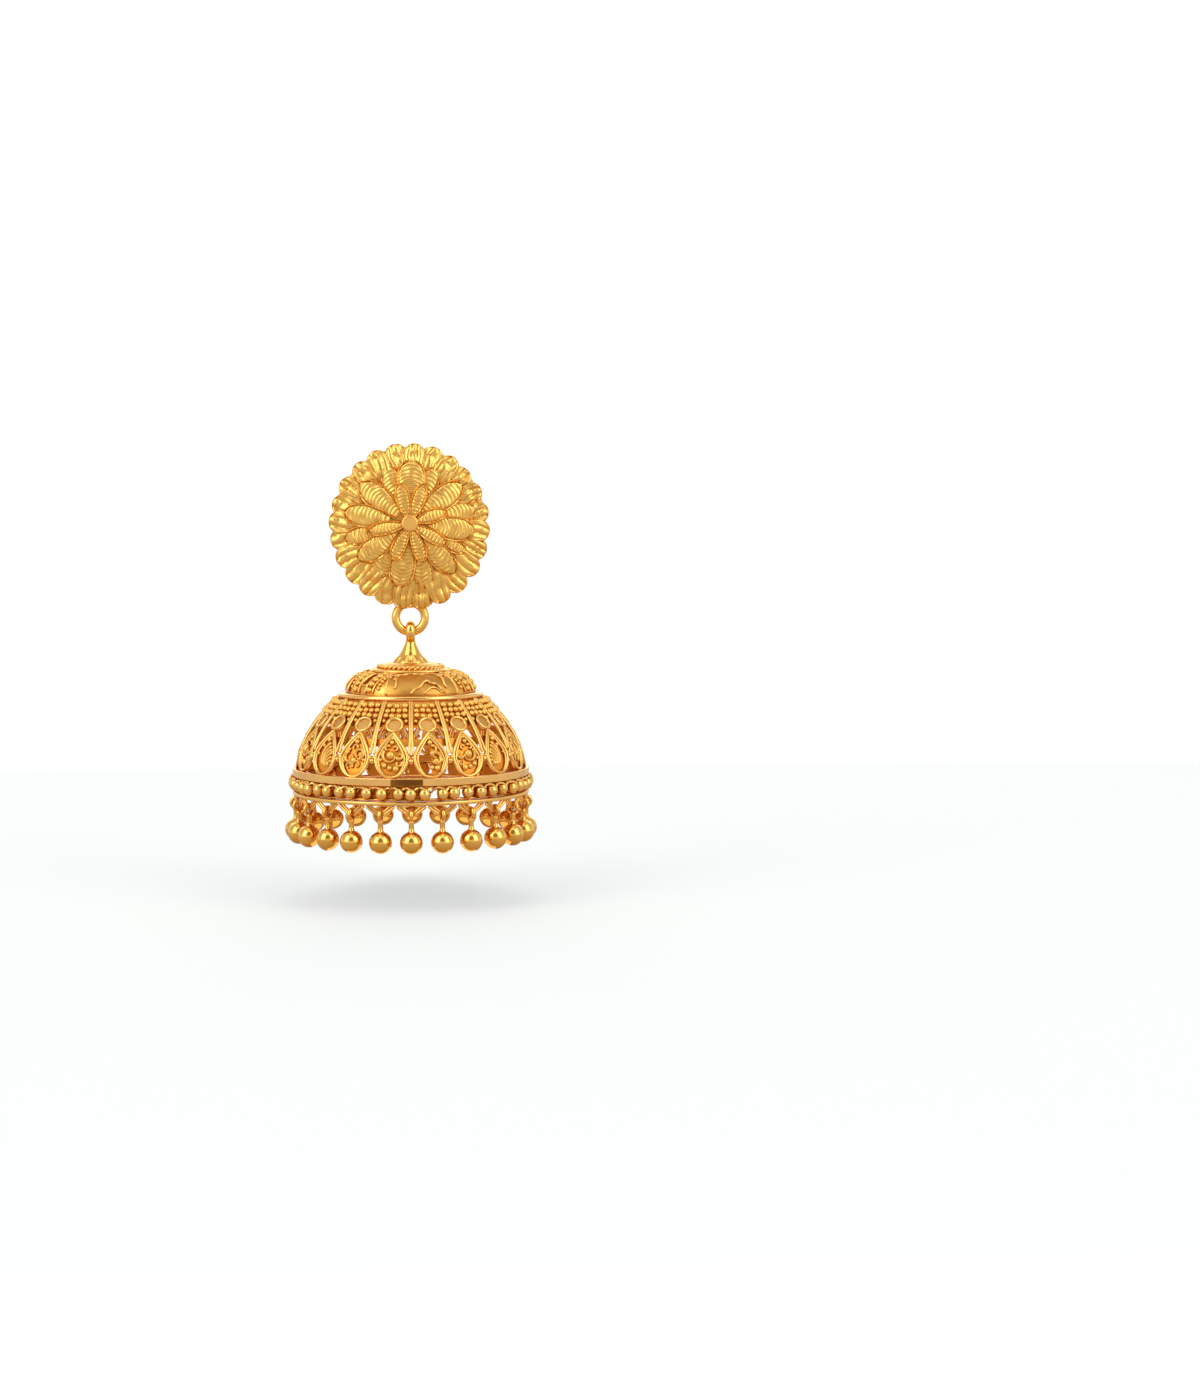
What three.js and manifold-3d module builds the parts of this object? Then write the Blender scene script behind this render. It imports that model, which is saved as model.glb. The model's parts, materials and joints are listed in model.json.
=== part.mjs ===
// Jhumka earring: a flower stud whose ring carries a pierced bell fringed with small balls.
// Millimetres and degrees, +Z up. The flower faces -Y, and the ear post leaves its back at the origin.
import * as THREE from 'three';
import { mergeVertices } from 'three/addons/utils/BufferGeometryUtils.js';
import Module from 'manifold-3d';

const wasm = await Module();
wasm.setup();

// Fits and mesh fineness
const seam = 0.05;              // gap between pieces that touch on the real earring
const solderLap = 0.06;         // depth by which soldered wires run into each other
const ringSides = 36;           // facets round the bell
const beadSides = 10;
const wireSides = 5;

// Flower stud
const flowerRadius = 8.0;
const flowerRim = 0.6;          // thickness at the tips of the outer petals
const flowerRise = 0.95;        // how much thicker the middle is
const outerPetals = 26;
const outerScallop = 0.42;      // depth of the notches between the outer petals
const outerFold = 0.22;
const petalBase = 2.3;          // where the middle petals start, from the centre
const petalHeight = 0.62;
const innerBase = 0.6;
const innerHeight = 0.5;
const innerLift = 0.55;         // height of the inner whorl over the plate
const buttonRadius = 0.82;
const buttonFace = 2.75;        // the button's front, from the flower's back
const postRadius = 0.5;
const postLength = 10.5;

// Petals of the two upper whorls: angle from +X, tip and width as shares of the flower's radius
const middleWhorl = [
  { at: 89, tip: 0.78, width: 0.28 },
  { at: 66, tip: 0.75, width: 0.21 },
  { at: 38, tip: 0.78, width: 0.21 },
  { at: 12, tip: 0.75, width: 0.19 },
  { at: -7, tip: 0.75, width: 0.21 },
  { at: -26, tip: 0.75, width: 0.15 },
  { at: -48, tip: 0.76, width: 0.21 },
  { at: -73, tip: 0.78, width: 0.19 },
  { at: -100, tip: 0.72, width: 0.23 },
  { at: -126, tip: 0.78, width: 0.2 },
  { at: -146, tip: 0.73, width: 0.19 },
  { at: -171, tip: 0.81, width: 0.2 },
  { at: 167, tip: 0.8, width: 0.23 },
  { at: 141, tip: 0.77, width: 0.25 },
  { at: 114, tip: 0.75, width: 0.23 },
];
const innerWhorl = [
  { at: 108, tip: 0.52, width: 0.17 },
  { at: 71, tip: 0.52, width: 0.16 },
  { at: 19, tip: 0.48, width: 0.15 },
  { at: -28, tip: 0.48, width: 0.14 },
  { at: -73, tip: 0.5, width: 0.15 },
  { at: -119, tip: 0.48, width: 0.16 },
  { at: -169, tip: 0.52, width: 0.15 },
];

// Hanging ring, and the eye that turns on it
const ringRadius = 1.45;        // to the middle of the wire
const ringWire = 0.42;          // radius of the wire
const ringTuck = 0.49;          // how far the ring reaches up behind the flower
const eyeWire = 0.325;
const eyeClearance = 0.05;

// Pieces of the drop, from the finial down
const finialReach = 3.12;       // from the pivot to the finial's foot
const finialFoot = 1.72;
const crownHeight = 0.75;
const crownRadius = 3.95;
const domeHeight = 1.9;
const domeWall = 0.4;
const domeInset = 0.47;         // how far the dome's foot stands inside the hoop's face
const domeShoulder = 1.45;      // how far the dome's bend stands above its foot
const hoopHeight = 0.6;
const hoopRadius = 7.17;
const hoopWall = 0.62;
const skirtHeight = 6.85;
const skirtTopInset = 0.02;     // how far the bell's top stands inside the hoop's face
const skirtMouthInset = 0.5;    // how far its mouth stands inside the band's face
const skirtShoulder = 3.45;     // how far the bell's bend stands above its mouth
const bandHeight = 0.75;
const bandInset = 0.5;          // how far the band's face stands inside the beads
const bandWall = 0.7;
const beltHeight = 1.4;
const beltRadius = 12.3;
const beltDepth = 1.2;
const beltBeads = 50;
const rimHeight = 0.4;
const rimInset = 0.5;           // how far the rim's face stands inside the beads
const rimWall = 0.6;

// Slanted slots of the upper dome, each between two raised bead bars
const slotGroups = 3;
const slotStart = 71;           // angle of the first group's middle from the front
const slotWidth = 0.6;
const slotLength = 2.2;
const barWidth = 0.8;
const barLength = 2.9;
const barRise = 0.22;
const barDepth = 0.45;
const barSpacing = 1.2;         // from the slot's middle to the bar's, at mid height
const barSplay = 0.08;          // sideways run of a bar for each unit down

// Panels of the skirt
const panels = 18;
const skirtWall = 0.4;
const fieldLength = 2.05;       // beaded strip under the hoop, along the bell
const ribWidth = 0.45;
const ribLength = 3.75;         // below the beaded strip
const ribRise = 0.14;
const discRadius = 0.85;
const discRise = 0.2;
const discDepth = 0.5;
const tearWidest = 0.57;        // where a teardrop is widest, as a share of its length from the tip
const tearFlank = 1.4;          // 1 gives straight flanks up to the tip, larger values fuller ones
const tearRise = 0.1;
const tearDepth = 0.42;
const tearSteps = 10;

// Fringe
const drops = 24;
const loopHalfWidth = 1.15;
const loopReach = 0.92;         // from the rim's underside to the middle of the loop's bend
const loopWire = 0.25;
const dropEyeWire = 0.19;
const dropEyeClearance = 0.09;
const ballRadius = 1.11;
const ballReach = 2.66;         // from the loop's bend to the ball's centre
const stemRadius = 0.24;

// Radii that follow from the hoop's and the belt's
const domeRadius = hoopRadius - domeInset;
const skirtTopRadius = hoopRadius - skirtTopInset;
const bandRadius = beltRadius - bandInset;
const skirtMouthRadius = bandRadius - skirtMouthInset;
const rimRadius = beltRadius - rimInset;
const fringeRadius = rimRadius - rimWall / 2;

// Heights that follow from the sizes above
const ringCentre = -(flowerRadius - ringTuck + ringRadius + ringWire);
const pivot = ringCentre - ringRadius;
const hangDepth = ringWire + seam;
const finialBottom = pivot - finialReach;
const crownTop = finialBottom - seam;
const crownBottom = crownTop - crownHeight;
const domeTop = crownBottom - seam;
const domeBottom = domeTop - domeHeight;
const hoopTop = domeBottom - seam;
const hoopBottom = hoopTop - hoopHeight;
const skirtTop = hoopBottom - seam;
const skirtBottom = skirtTop - skirtHeight;
const bandTop = skirtBottom - seam;
const bandBottom = bandTop - bandHeight;
const beltTop = bandBottom - seam;
const beltBottom = beltTop - beltHeight;
const rimTop = beltBottom - seam;
const rimBottom = rimTop - rimHeight;
const loopBend = rimBottom - loopReach;

const polished = new THREE.MeshStandardMaterial({ color: 0xe8b455, roughness: 0.16, metalness: 1 });
const frosted = new THREE.MeshStandardMaterial({ color: 0xd9a04a, roughness: 0.38, metalness: 1 });

const radians = THREE.MathUtils.degToRad;

// Closed solid of a geometry, with its shared corners merged
function solidOf(geometry) {
  const bare = geometry.clone();
  bare.deleteAttribute('normal');
  bare.deleteAttribute('uv');
  const merged = mergeVertices(bare);
  const corners = merged.index.array;
  const triangles = [];
  for (let i = 0; i < corners.length; i += 3) {
    const [a, b, c] = [corners[i], corners[i + 1], corners[i + 2]];
    if (a !== b && b !== c && c !== a) triangles.push(a, b, c);
  }
  return new wasm.Manifold(new wasm.Mesh({
    numProp: 3,
    vertProperties: merged.attributes.position.array,
    triVerts: new Uint32Array(triangles),
  }));
}

function geometryOf(solid) {
  const { vertProperties, triVerts } = solid.getMesh();
  const geometry = new THREE.BufferGeometry();
  geometry.setAttribute('position', new THREE.BufferAttribute(vertProperties, 3));
  geometry.setIndex(new THREE.BufferAttribute(triVerts, 1));
  geometry.computeVertexNormals();
  return geometry;
}

function joined(geometries) {
  return geometries.map(solidOf).reduce((whole, next) => whole.add(next));
}

function piece(name, geometry, material) {
  const mesh = new THREE.Mesh(geometry, material);
  mesh.name = name;
  return mesh;
}

// Turned piece about Z from [radius, height] points, listed from the bottom up on the outside
function turned(points, sides) {
  const outline = points.map(([radius, height]) => new THREE.Vector2(radius, height));
  return new THREE.LatheGeometry(outline, sides).rotateX(Math.PI / 2);
}

// Plain hoop of rectangular section
function hoop(outer, wall, top, bottom) {
  const inner = outer - wall;
  return turned([[outer, bottom], [outer, top], [inner, top], [inner, bottom], [outer, bottom]], ringSides);
}

// Round wire along a curve
function wire(curve, radius, steps) {
  const section = new THREE.Shape();
  for (let i = 0; i < wireSides; i++) {
    const turn = (2 * Math.PI * i) / wireSides;
    const point = [radius * Math.cos(turn), radius * Math.sin(turn)];
    if (i === 0) section.moveTo(...point);
    else section.lineTo(...point);
  }
  return new THREE.ExtrudeGeometry(section, { steps, extrudePath: curve, curveSegments: 1 });
}

// Half section of a bell wall from its narrow top to its mouth, bent about one control point
function bellCurve(topRadius, top, mouthRadius, mouth, shoulder) {
  return new THREE.QuadraticBezierCurve(
    new THREE.Vector2(topRadius, top),
    new THREE.Vector2(mouthRadius - (mouthRadius - topRadius) * 0.06, mouth + shoulder),
    new THREE.Vector2(mouthRadius, mouth),
  );
}

// Point of a bell curve at a distance down it, moved out along the wall's normal
function bellPoint(curve, down, out) {
  const share = THREE.MathUtils.clamp(down / curve.getLength(), 0, 1);
  const point = curve.getPointAt(share);
  const tangent = curve.getTangentAt(share);
  return [point.x - tangent.y * out, point.y + tangent.x * out];
}

// Wall of even thickness along part of a bell curve
function bellWall(curve, length, wall, steps) {
  const downs = Array.from({ length: steps + 1 }, (_, i) => (length * i) / steps);
  const outside = downs.map((down) => bellPoint(curve, down, 0)).reverse();
  const inside = downs.map((down) => bellPoint(curve, down, -wall));
  return turned([...outside, ...inside, outside[0]], ringSides);
}

// Lays a flat geometry on a bell: x runs sideways, -y down the wall, z outwards
function laidOn(curve, geometry, angle) {
  const position = geometry.attributes.position;
  for (let i = 0; i < position.count; i++) {
    const down = -position.getY(i);
    const [foot] = bellPoint(curve, down, 0);
    const [radius, height] = bellPoint(curve, down, position.getZ(i));
    const turn = radians(angle) + position.getX(i) / foot;
    position.setXYZ(i, radius * Math.sin(turn), -radius * Math.cos(turn), height);
  }
  return geometry;
}

// Front height of the flower's plate at a radius
function plateHeight(radius) {
  return flowerRim + flowerRise * (1 - (radius / flowerRadius) ** 2);
}

// Scalloped plate with one fold to each outer petal and a flat back
function flowerPlate() {
  const columns = outerPetals * 2;
  const rings = [0.55, 0.8, 1];
  const points = [[0, 0, plateHeight(0)], [0, 0, 0]];
  const add = (radius, turn, height) => {
    points.push([radius * Math.cos(turn), radius * Math.sin(turn), height]);
  };
  for (let i = 0; i < columns; i++) {
    const turn = (2 * Math.PI * i) / columns;
    const wave = Math.cos(outerPetals * turn);
    rings.forEach((share) => {
      const radius = flowerRadius * share - (outerScallop * share * (1 - wave)) / 2;
      add(radius, turn, plateHeight(radius) + outerFold * share * wave);
    });
    add(flowerRadius - (outerScallop * (1 - wave)) / 2, turn, 0);
  }
  const rows = rings.length + 1;
  const corner = (column, row) => 2 + (column % columns) * rows + row;
  const faces = [];
  for (let i = 0; i < columns; i++) {
    faces.push(0, corner(i, 0), corner(i + 1, 0));
    for (let row = 0; row < rows - 1; row++) {
      faces.push(corner(i, row), corner(i, row + 1), corner(i + 1, row + 1));
      faces.push(corner(i, row), corner(i + 1, row + 1), corner(i + 1, row));
    }
    faces.push(1, corner(i + 1, rows - 1), corner(i, rows - 1));
  }
  const geometry = new THREE.BufferGeometry();
  geometry.setAttribute('position', new THREE.Float32BufferAttribute(points.flat(), 3));
  geometry.setIndex(faces);
  return geometry;
}

// Pointed petal with a crest, from a base to a tip radius, lying on the flower at a height
function petal(at, base, tip, width, height, lift) {
  const geometry = new THREE.SphereGeometry(1, 4, 4);
  const position = geometry.attributes.position;
  for (let i = 0; i < position.count; i++) {
    const along = position.getY(i);
    const taper = Math.max(0, 1 - along * along) ** 0.25;
    position.setXYZ(
      i,
      (position.getX(i) * taper * width) / 2,
      (along * (tip - base)) / 2,
      position.getZ(i) * height,
    );
  }
  return geometry.translate(0, (tip + base) / 2, lift).rotateZ(radians(at - 90));
}

function rosette() {
  const middle = middleWhorl.map(({ at, tip, width }) => {
    const reach = tip * flowerRadius;
    const lift = plateHeight((reach + petalBase) / 2);
    return petal(at, petalBase, reach, width * flowerRadius, petalHeight, lift);
  });
  const inner = innerWhorl.map(({ at, tip, width }) => {
    const reach = tip * flowerRadius;
    const lift = plateHeight((reach + innerBase) / 2) + innerLift;
    return petal(at, innerBase, reach, width * flowerRadius, innerHeight, lift);
  });
  const button = new THREE.CylinderGeometry(buttonRadius, buttonRadius, buttonFace, beadSides + 2)
    .rotateX(Math.PI / 2)
    .translate(0, 0, buttonFace / 2);
  const mesh = piece('rosette', geometryOf(joined([flowerPlate(), ...middle, ...inner, button])), frosted);
  mesh.rotation.x = Math.PI / 2;
  return mesh;
}

function earPost() {
  const tip = postRadius * 0.5;
  const mesh = piece('ear_post', turned([
    [0, seam], [postRadius, seam], [postRadius, postLength - tip], [tip, postLength], [0, postLength],
  ], beadSides), polished);
  mesh.rotation.x = -Math.PI / 2;
  return mesh;
}

function hangingRing() {
  const geometry = new THREE.TorusGeometry(ringRadius, ringWire, wireSides + 1, 16).rotateX(Math.PI / 2);
  const mesh = piece('hanging_ring', geometry, polished);
  mesh.position.set(0, hangDepth, ringCentre);
  return mesh;
}

function finial() {
  const eyeRadius = ringWire + eyeClearance + eyeWire;
  const eye = new THREE.TorusGeometry(eyeRadius, eyeWire, wireSides + 1, 14)
    .rotateY(Math.PI / 2)
    .translate(0, 0, pivot);
  const neck = pivot - eyeRadius;
  const waist = neck - eyeWire;
  const fall = waist - finialBottom;
  const cone = turned([
    [0, finialBottom],
    [finialFoot, finialBottom],
    [finialFoot, finialBottom + fall * 0.05],
    [finialFoot * 0.8, finialBottom + fall * 0.2],
    [finialFoot * 0.52, finialBottom + fall * 0.45],
    [finialFoot * 0.43, finialBottom + fall * 0.76],
    [finialFoot * 0.3, waist],
    [finialFoot * 0.2, neck],
    [0, neck],
  ], beadSides);
  return piece('finial', geometryOf(joined([eye, cone])), polished);
}

// Low cap with a raised ring and a step round its edge
function crown() {
  return piece('crown', turned([
    [0, crownTop - crownHeight * 0.55],
    [crownRadius, crownBottom],
    [crownRadius * 0.97, crownTop - crownHeight * 0.6],
    [crownRadius * 0.89, crownTop - crownHeight * 0.14],
    [crownRadius * 0.75, crownTop - crownHeight * 0.1],
    [finialFoot, crownTop],
    [0, crownTop],
  ], ringSides), frosted);
}

function upperDome() {
  const curve = bellCurve(crownRadius, domeTop, domeRadius, domeBottom, domeShoulder);
  const length = curve.getLength();
  const middle = -length / 2;
  const slanted = (geometry, angle, side) => {
    const position = geometry.attributes.position;
    for (let i = 0; i < position.count; i++) {
      const run = side * (barSpacing - barSplay * (middle - position.getY(i)));
      position.setX(i, position.getX(i) + run);
    }
    return laidOn(curve, geometry, angle);
  };
  const bar = (angle, side) => {
    const block = new THREE.BoxGeometry(barWidth, barLength, barDepth, 1, 2, 1);
    return slanted(block.translate(0, middle, barRise - barDepth / 2), angle, side);
  };
  const slot = (angle) => {
    const block = new THREE.BoxGeometry(slotWidth, slotLength, 3 * domeWall, 1, 1, 1);
    return laidOn(curve, block.translate(0, middle, -domeWall / 2), angle);
  };
  const groups = Array.from({ length: slotGroups }, (_, i) => slotStart + (360 * i) / slotGroups);
  const bars = groups.flatMap((angle) => [bar(angle, -1), bar(angle, 1)]);
  const pierced = groups.reduce(
    (whole, angle) => whole.subtract(solidOf(slot(angle))),
    joined([bellWall(curve, length, domeWall, 2), ...bars]),
  );
  return piece('upper_dome', geometryOf(pierced), frosted);
}

// Outline of a teardrop with its sharp tip up, centred on the middle of its height
function tearShape(halfWidth, halfLength) {
  const shape = new THREE.Shape();
  for (let i = 0; i < tearSteps; i++) {
    const turn = (2 * Math.PI * i) / tearSteps;
    const rise = Math.cos(turn);
    const width = rise > 0 ? 1 - rise ** tearFlank : Math.abs(Math.sin(turn));
    const reach = rise > 0 ? tearWidest : 1 - tearWidest;
    const height = halfLength * (1 - 2 * tearWidest + 2 * reach * rise);
    const point = [-Math.sign(Math.sin(turn)) * halfWidth * width, height];
    if (i === 0) shape.moveTo(...point);
    else shape.lineTo(...point);
  }
  return shape;
}

function skirt() {
  const curve = bellCurve(skirtTopRadius, skirtTop, skirtMouthRadius, skirtBottom, skirtShoulder);
  const length = curve.getLength();
  const halfPanel = 180 / panels;
  const discMiddle = fieldLength + discRadius - solderLap;
  const tearTop = discMiddle + discRadius - 2 * solderLap;
  const tearMiddle = (tearTop + length) / 2;
  const [tearRadius] = bellPoint(curve, tearMiddle, 0);
  const tearHalfWidth = tearRadius * radians(halfPanel) - ribWidth / 2 + solderLap;
  const tearHalfLength = (length - tearTop) / 2;

  const rib = (angle) => {
    const block = new THREE.BoxGeometry(ribWidth, ribLength, ribWidth, 1, 2, 1);
    const middle = fieldLength - solderLap + ribLength / 2;
    return laidOn(curve, block.translate(0, -middle, ribRise - ribWidth / 2), angle);
  };
  const disc = (angle) => {
    const round = new THREE.CylinderGeometry(discRadius, discRadius, discDepth, beadSides - 2)
      .rotateX(Math.PI / 2);
    return laidOn(curve, round.translate(0, -discMiddle, discRise - discDepth / 2), angle);
  };
  const tear = (angle) => {
    const shape = tearShape(tearHalfWidth, tearHalfLength);
    const plate = new THREE.ExtrudeGeometry(shape, { depth: tearDepth, bevelEnabled: false });
    return laidOn(curve, plate.translate(0, -tearMiddle, tearRise - tearDepth), angle);
  };
  const parts = [bellWall(curve, fieldLength, skirtWall, 1)];
  for (let i = 0; i < panels; i++) {
    const ribAngle = (360 * i) / panels;
    parts.push(rib(ribAngle), disc(ribAngle + halfPanel), tear(ribAngle + halfPanel));
  }
  return piece('skirt', geometryOf(joined(parts)), frosted);
}

// Ring of beads run together, each bead one swelling
function beadBelt() {
  const stations = beltBeads * 2;
  const middle = (beltTop + beltBottom) / 2;
  const points = [];
  const faces = [];
  for (let i = 0; i < stations; i++) {
    const turn = (2 * Math.PI * i) / stations;
    const swell = i % 2 === 0 ? 1 : 0.55;
    for (let j = 0; j < wireSides; j++) {
      const round = (2 * Math.PI * j) / wireSides;
      const radius = beltRadius - beltDepth / 2 + (swell * beltDepth * Math.cos(round)) / 2;
      const height = middle + (swell * beltHeight * Math.sin(round)) / 2;
      points.push(radius * Math.sin(turn), -radius * Math.cos(turn), height);
      const next = (i + 1) % stations;
      const [a, b] = [i * wireSides + j, i * wireSides + ((j + 1) % wireSides)];
      const [c, d] = [next * wireSides + j, next * wireSides + ((j + 1) % wireSides)];
      faces.push(a, d, b, a, c, d);
    }
  }
  const geometry = new THREE.BufferGeometry();
  geometry.setAttribute('position', new THREE.Float32BufferAttribute(points, 3));
  geometry.setIndex(faces);
  return piece('bead_belt', geometry, polished);
}

// Rim ring with one wire loop for each ball soldered under it
function rim() {
  const loop = (angle) => {
    const root = rimBottom + solderLap;
    const curve = new THREE.CatmullRomCurve3([
      new THREE.Vector3(-loopHalfWidth, 0, root),
      new THREE.Vector3(-loopHalfWidth * 0.62, 0, rimBottom - loopReach * 0.45),
      new THREE.Vector3(0, 0, loopBend),
      new THREE.Vector3(loopHalfWidth * 0.62, 0, rimBottom - loopReach * 0.45),
      new THREE.Vector3(loopHalfWidth, 0, root),
    ]);
    return wire(curve, loopWire, 3).translate(0, -fringeRadius, 0).rotateZ(radians(angle));
  };
  const loops = Array.from({ length: drops }, (_, i) => loop((360 * i) / drops));
  const ring = hoop(rimRadius, rimWall, rimTop, rimBottom);
  return piece('rim', geometryOf(joined([ring, ...loops])), polished);
}

// Ball with its stem and the eye that hangs on a loop, about the middle of the loop's bend
function ballDrop() {
  const eyeRadius = loopWire + dropEyeClearance + dropEyeWire;
  const eye = new THREE.TorusGeometry(eyeRadius, dropEyeWire, wireSides, beadSides).rotateY(Math.PI / 2);
  const rows = 4;
  const neckTurn = Math.asin(stemRadius / ballRadius);
  const outline = Array.from({ length: rows + 1 }, (_, i) => {
    const turn = ((Math.PI - neckTurn) * i) / rows;
    return [ballRadius * Math.sin(turn), -ballReach - ballRadius * Math.cos(turn)];
  });
  const ball = turned([...outline, [stemRadius, -eyeRadius], [0, -eyeRadius]], beadSides);
  return geometryOf(joined([eye, ball]));
}

const stud = new THREE.Group();
stud.add(rosette(), earPost(), hangingRing());

const drop = new THREE.Group();
drop.position.y = hangDepth;
drop.add(
  finial(),
  crown(),
  upperDome(),
  piece('hoop', hoop(hoopRadius, hoopWall, hoopTop, hoopBottom), polished),
  skirt(),
  piece('band', hoop(bandRadius, bandWall, bandTop, bandBottom), polished),
  beadBelt(),
  rim(),
);
const ballGeometry = ballDrop();
for (let i = 0; i < drops; i++) {
  const ball = piece(`ball_drop_${String(i + 1).padStart(2, '0')}`, ballGeometry, polished);
  const turn = (2 * Math.PI * i) / drops;
  ball.position.set(fringeRadius * Math.sin(turn), -fringeRadius * Math.cos(turn), loopBend);
  ball.rotation.z = turn;
  drop.add(ball);
}

const earring = new THREE.Group();
earring.add(stud, drop);

export default earring;
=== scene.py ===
# Gold jhumka earring: the finish of every piece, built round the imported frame.
# Shapes are worked out in millimetres about the bell's axis and stored in metres.
import json
import math

import bpy
import numpy as np
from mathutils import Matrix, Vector


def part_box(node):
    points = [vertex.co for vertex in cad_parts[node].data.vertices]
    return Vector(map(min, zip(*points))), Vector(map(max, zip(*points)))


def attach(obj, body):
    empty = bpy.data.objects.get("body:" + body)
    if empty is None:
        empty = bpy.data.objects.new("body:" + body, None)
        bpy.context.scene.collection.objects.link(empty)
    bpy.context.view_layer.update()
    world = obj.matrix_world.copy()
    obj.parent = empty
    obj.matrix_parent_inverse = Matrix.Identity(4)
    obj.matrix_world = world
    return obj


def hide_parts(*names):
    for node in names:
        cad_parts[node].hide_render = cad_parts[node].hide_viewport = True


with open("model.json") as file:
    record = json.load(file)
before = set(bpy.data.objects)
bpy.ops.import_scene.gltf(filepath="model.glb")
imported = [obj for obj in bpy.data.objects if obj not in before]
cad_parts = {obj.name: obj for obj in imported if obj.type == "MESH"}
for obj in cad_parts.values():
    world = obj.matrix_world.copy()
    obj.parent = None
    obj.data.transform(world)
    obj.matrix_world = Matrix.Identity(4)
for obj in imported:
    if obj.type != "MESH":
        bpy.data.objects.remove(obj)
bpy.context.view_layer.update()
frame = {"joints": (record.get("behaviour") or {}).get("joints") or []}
rng = np.random.default_rng(22)

MM = 0.001
TAU = 2 * math.pi


def span(node):
    """Lowest and highest corner of a CAD node, in millimetres."""
    low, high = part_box(node)
    return np.array(low) / MM, np.array(high) / MM


# Places read from the frame, in millimetres
flower_low, flower_high = span("rosette")
post_low, post_high = span("ear_post")
ring_low, ring_high = span("hanging_ring")
finial_low, finial_high = span("finial")
crown_low, crown_high = span("crown")
dome_low, dome_high = span("upper_dome")
hoop_low, hoop_high = span("hoop")
skirt_low, skirt_high = span("skirt")
band_low, band_high = span("band")
belt_low, belt_high = span("bead_belt")
rim_low, rim_high = span("rim")
ball_low, ball_high = span("ball_drop_01")

AXIS = np.array([0.0, (band_low[1] + band_high[1]) / 2, 0.0])
PIVOT = np.array(frame["joints"][0]["pos_m"]) / MM
FLOWER_RADIUS = flower_high[0]
RING_WIRE = (ring_high[1] - ring_low[1]) / 2 + 0.06
RING_RADIUS = ring_high[0] - RING_WIRE
RING_CENTRE = np.array([0.0, (ring_low[1] + ring_high[1]) / 2, (ring_low[2] + ring_high[2]) / 2])
CROWN_RADIUS = crown_high[0]
HOOP_RADIUS = hoop_high[0]
BAND_RADIUS = band_high[0]
BELT_RADIUS = belt_high[0]
RIM_RADIUS = rim_high[0]

# Sizes and counts of the goldsmith's work, in millimetres
PANELS = 18
SKIRT_WALL = 0.4
SKIRT_TOP_RADIUS = 7.15
SKIRT_MOUTH_RADIUS = 11.3
SKIRT_SHOULDER = 3.45
FIELD_LENGTH = 2.05
LINING_LENGTH = 2.9
GIRDLE = (4.2, 5.0)
DISC_RADIUS = 0.85
RIB_WIDTH = 0.45
RIB_LENGTH = 3.75
DOME_WALL = 0.4
DOME_TOP_RADIUS = 3.15
DOME_FOOT_RADIUS = 6.3
HOOP_DEPTH = 1.15
DOME_SHOULDER = 1.75
SOLDER_LAP = 0.06
BELT_BEADS = 50
BAND_FACETS = 46
BELT_GAPS = (1, 3, 45)
DROPS = 24
FRINGE_RADIUS = 11.5
LOOP_WIRE = 0.25
LOOP_HALF_WIDTH = 1.15
LOOP_REACH = 0.92
BALL_FOOT = 1.11
BALL_RADIUS = 1.103
BALL_REACH = 2.66


# Shapes: each is (points, faces)


def unit(vectors):
    """Vectors scaled to length one."""
    return vectors / np.maximum(np.linalg.norm(vectors, axis=-1, keepdims=True), 1e-12)


def circle(steps):
    """Angles once round, in radians."""
    return np.arange(steps) * TAU / steps


def about(radius, turn, height):
    """Points about the Z axis; angles start at the front."""
    radius, turn, height = np.broadcast_arrays(radius, turn, height)
    return np.stack([radius * np.sin(turn), -radius * np.cos(turn), height], axis=-1)


def quads(rows, columns, wrap_rows=False, wrap_columns=False):
    """Faces of a grid of points, row by row."""
    row = np.arange(rows if wrap_rows else rows - 1)
    column = np.arange(columns if wrap_columns else columns - 1)
    r, c = np.meshgrid(row, column, indexing="ij")
    r2, c2 = (r + 1) % rows, (c + 1) % columns
    corners = [r * columns + c, r * columns + c2, r2 * columns + c2, r2 * columns + c]
    return np.stack(corners, axis=-1).reshape(-1, 4).tolist()


def border(rows, columns):
    """Points round the edge of a grid, one way round."""
    edge = [i for i in range(columns)]
    edge += [r * columns + columns - 1 for r in range(1, rows)]
    edge += [(rows - 1) * columns + c for c in range(columns - 2, -1, -1)]
    return edge + [r * columns for r in range(rows - 2, 0, -1)]


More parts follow.
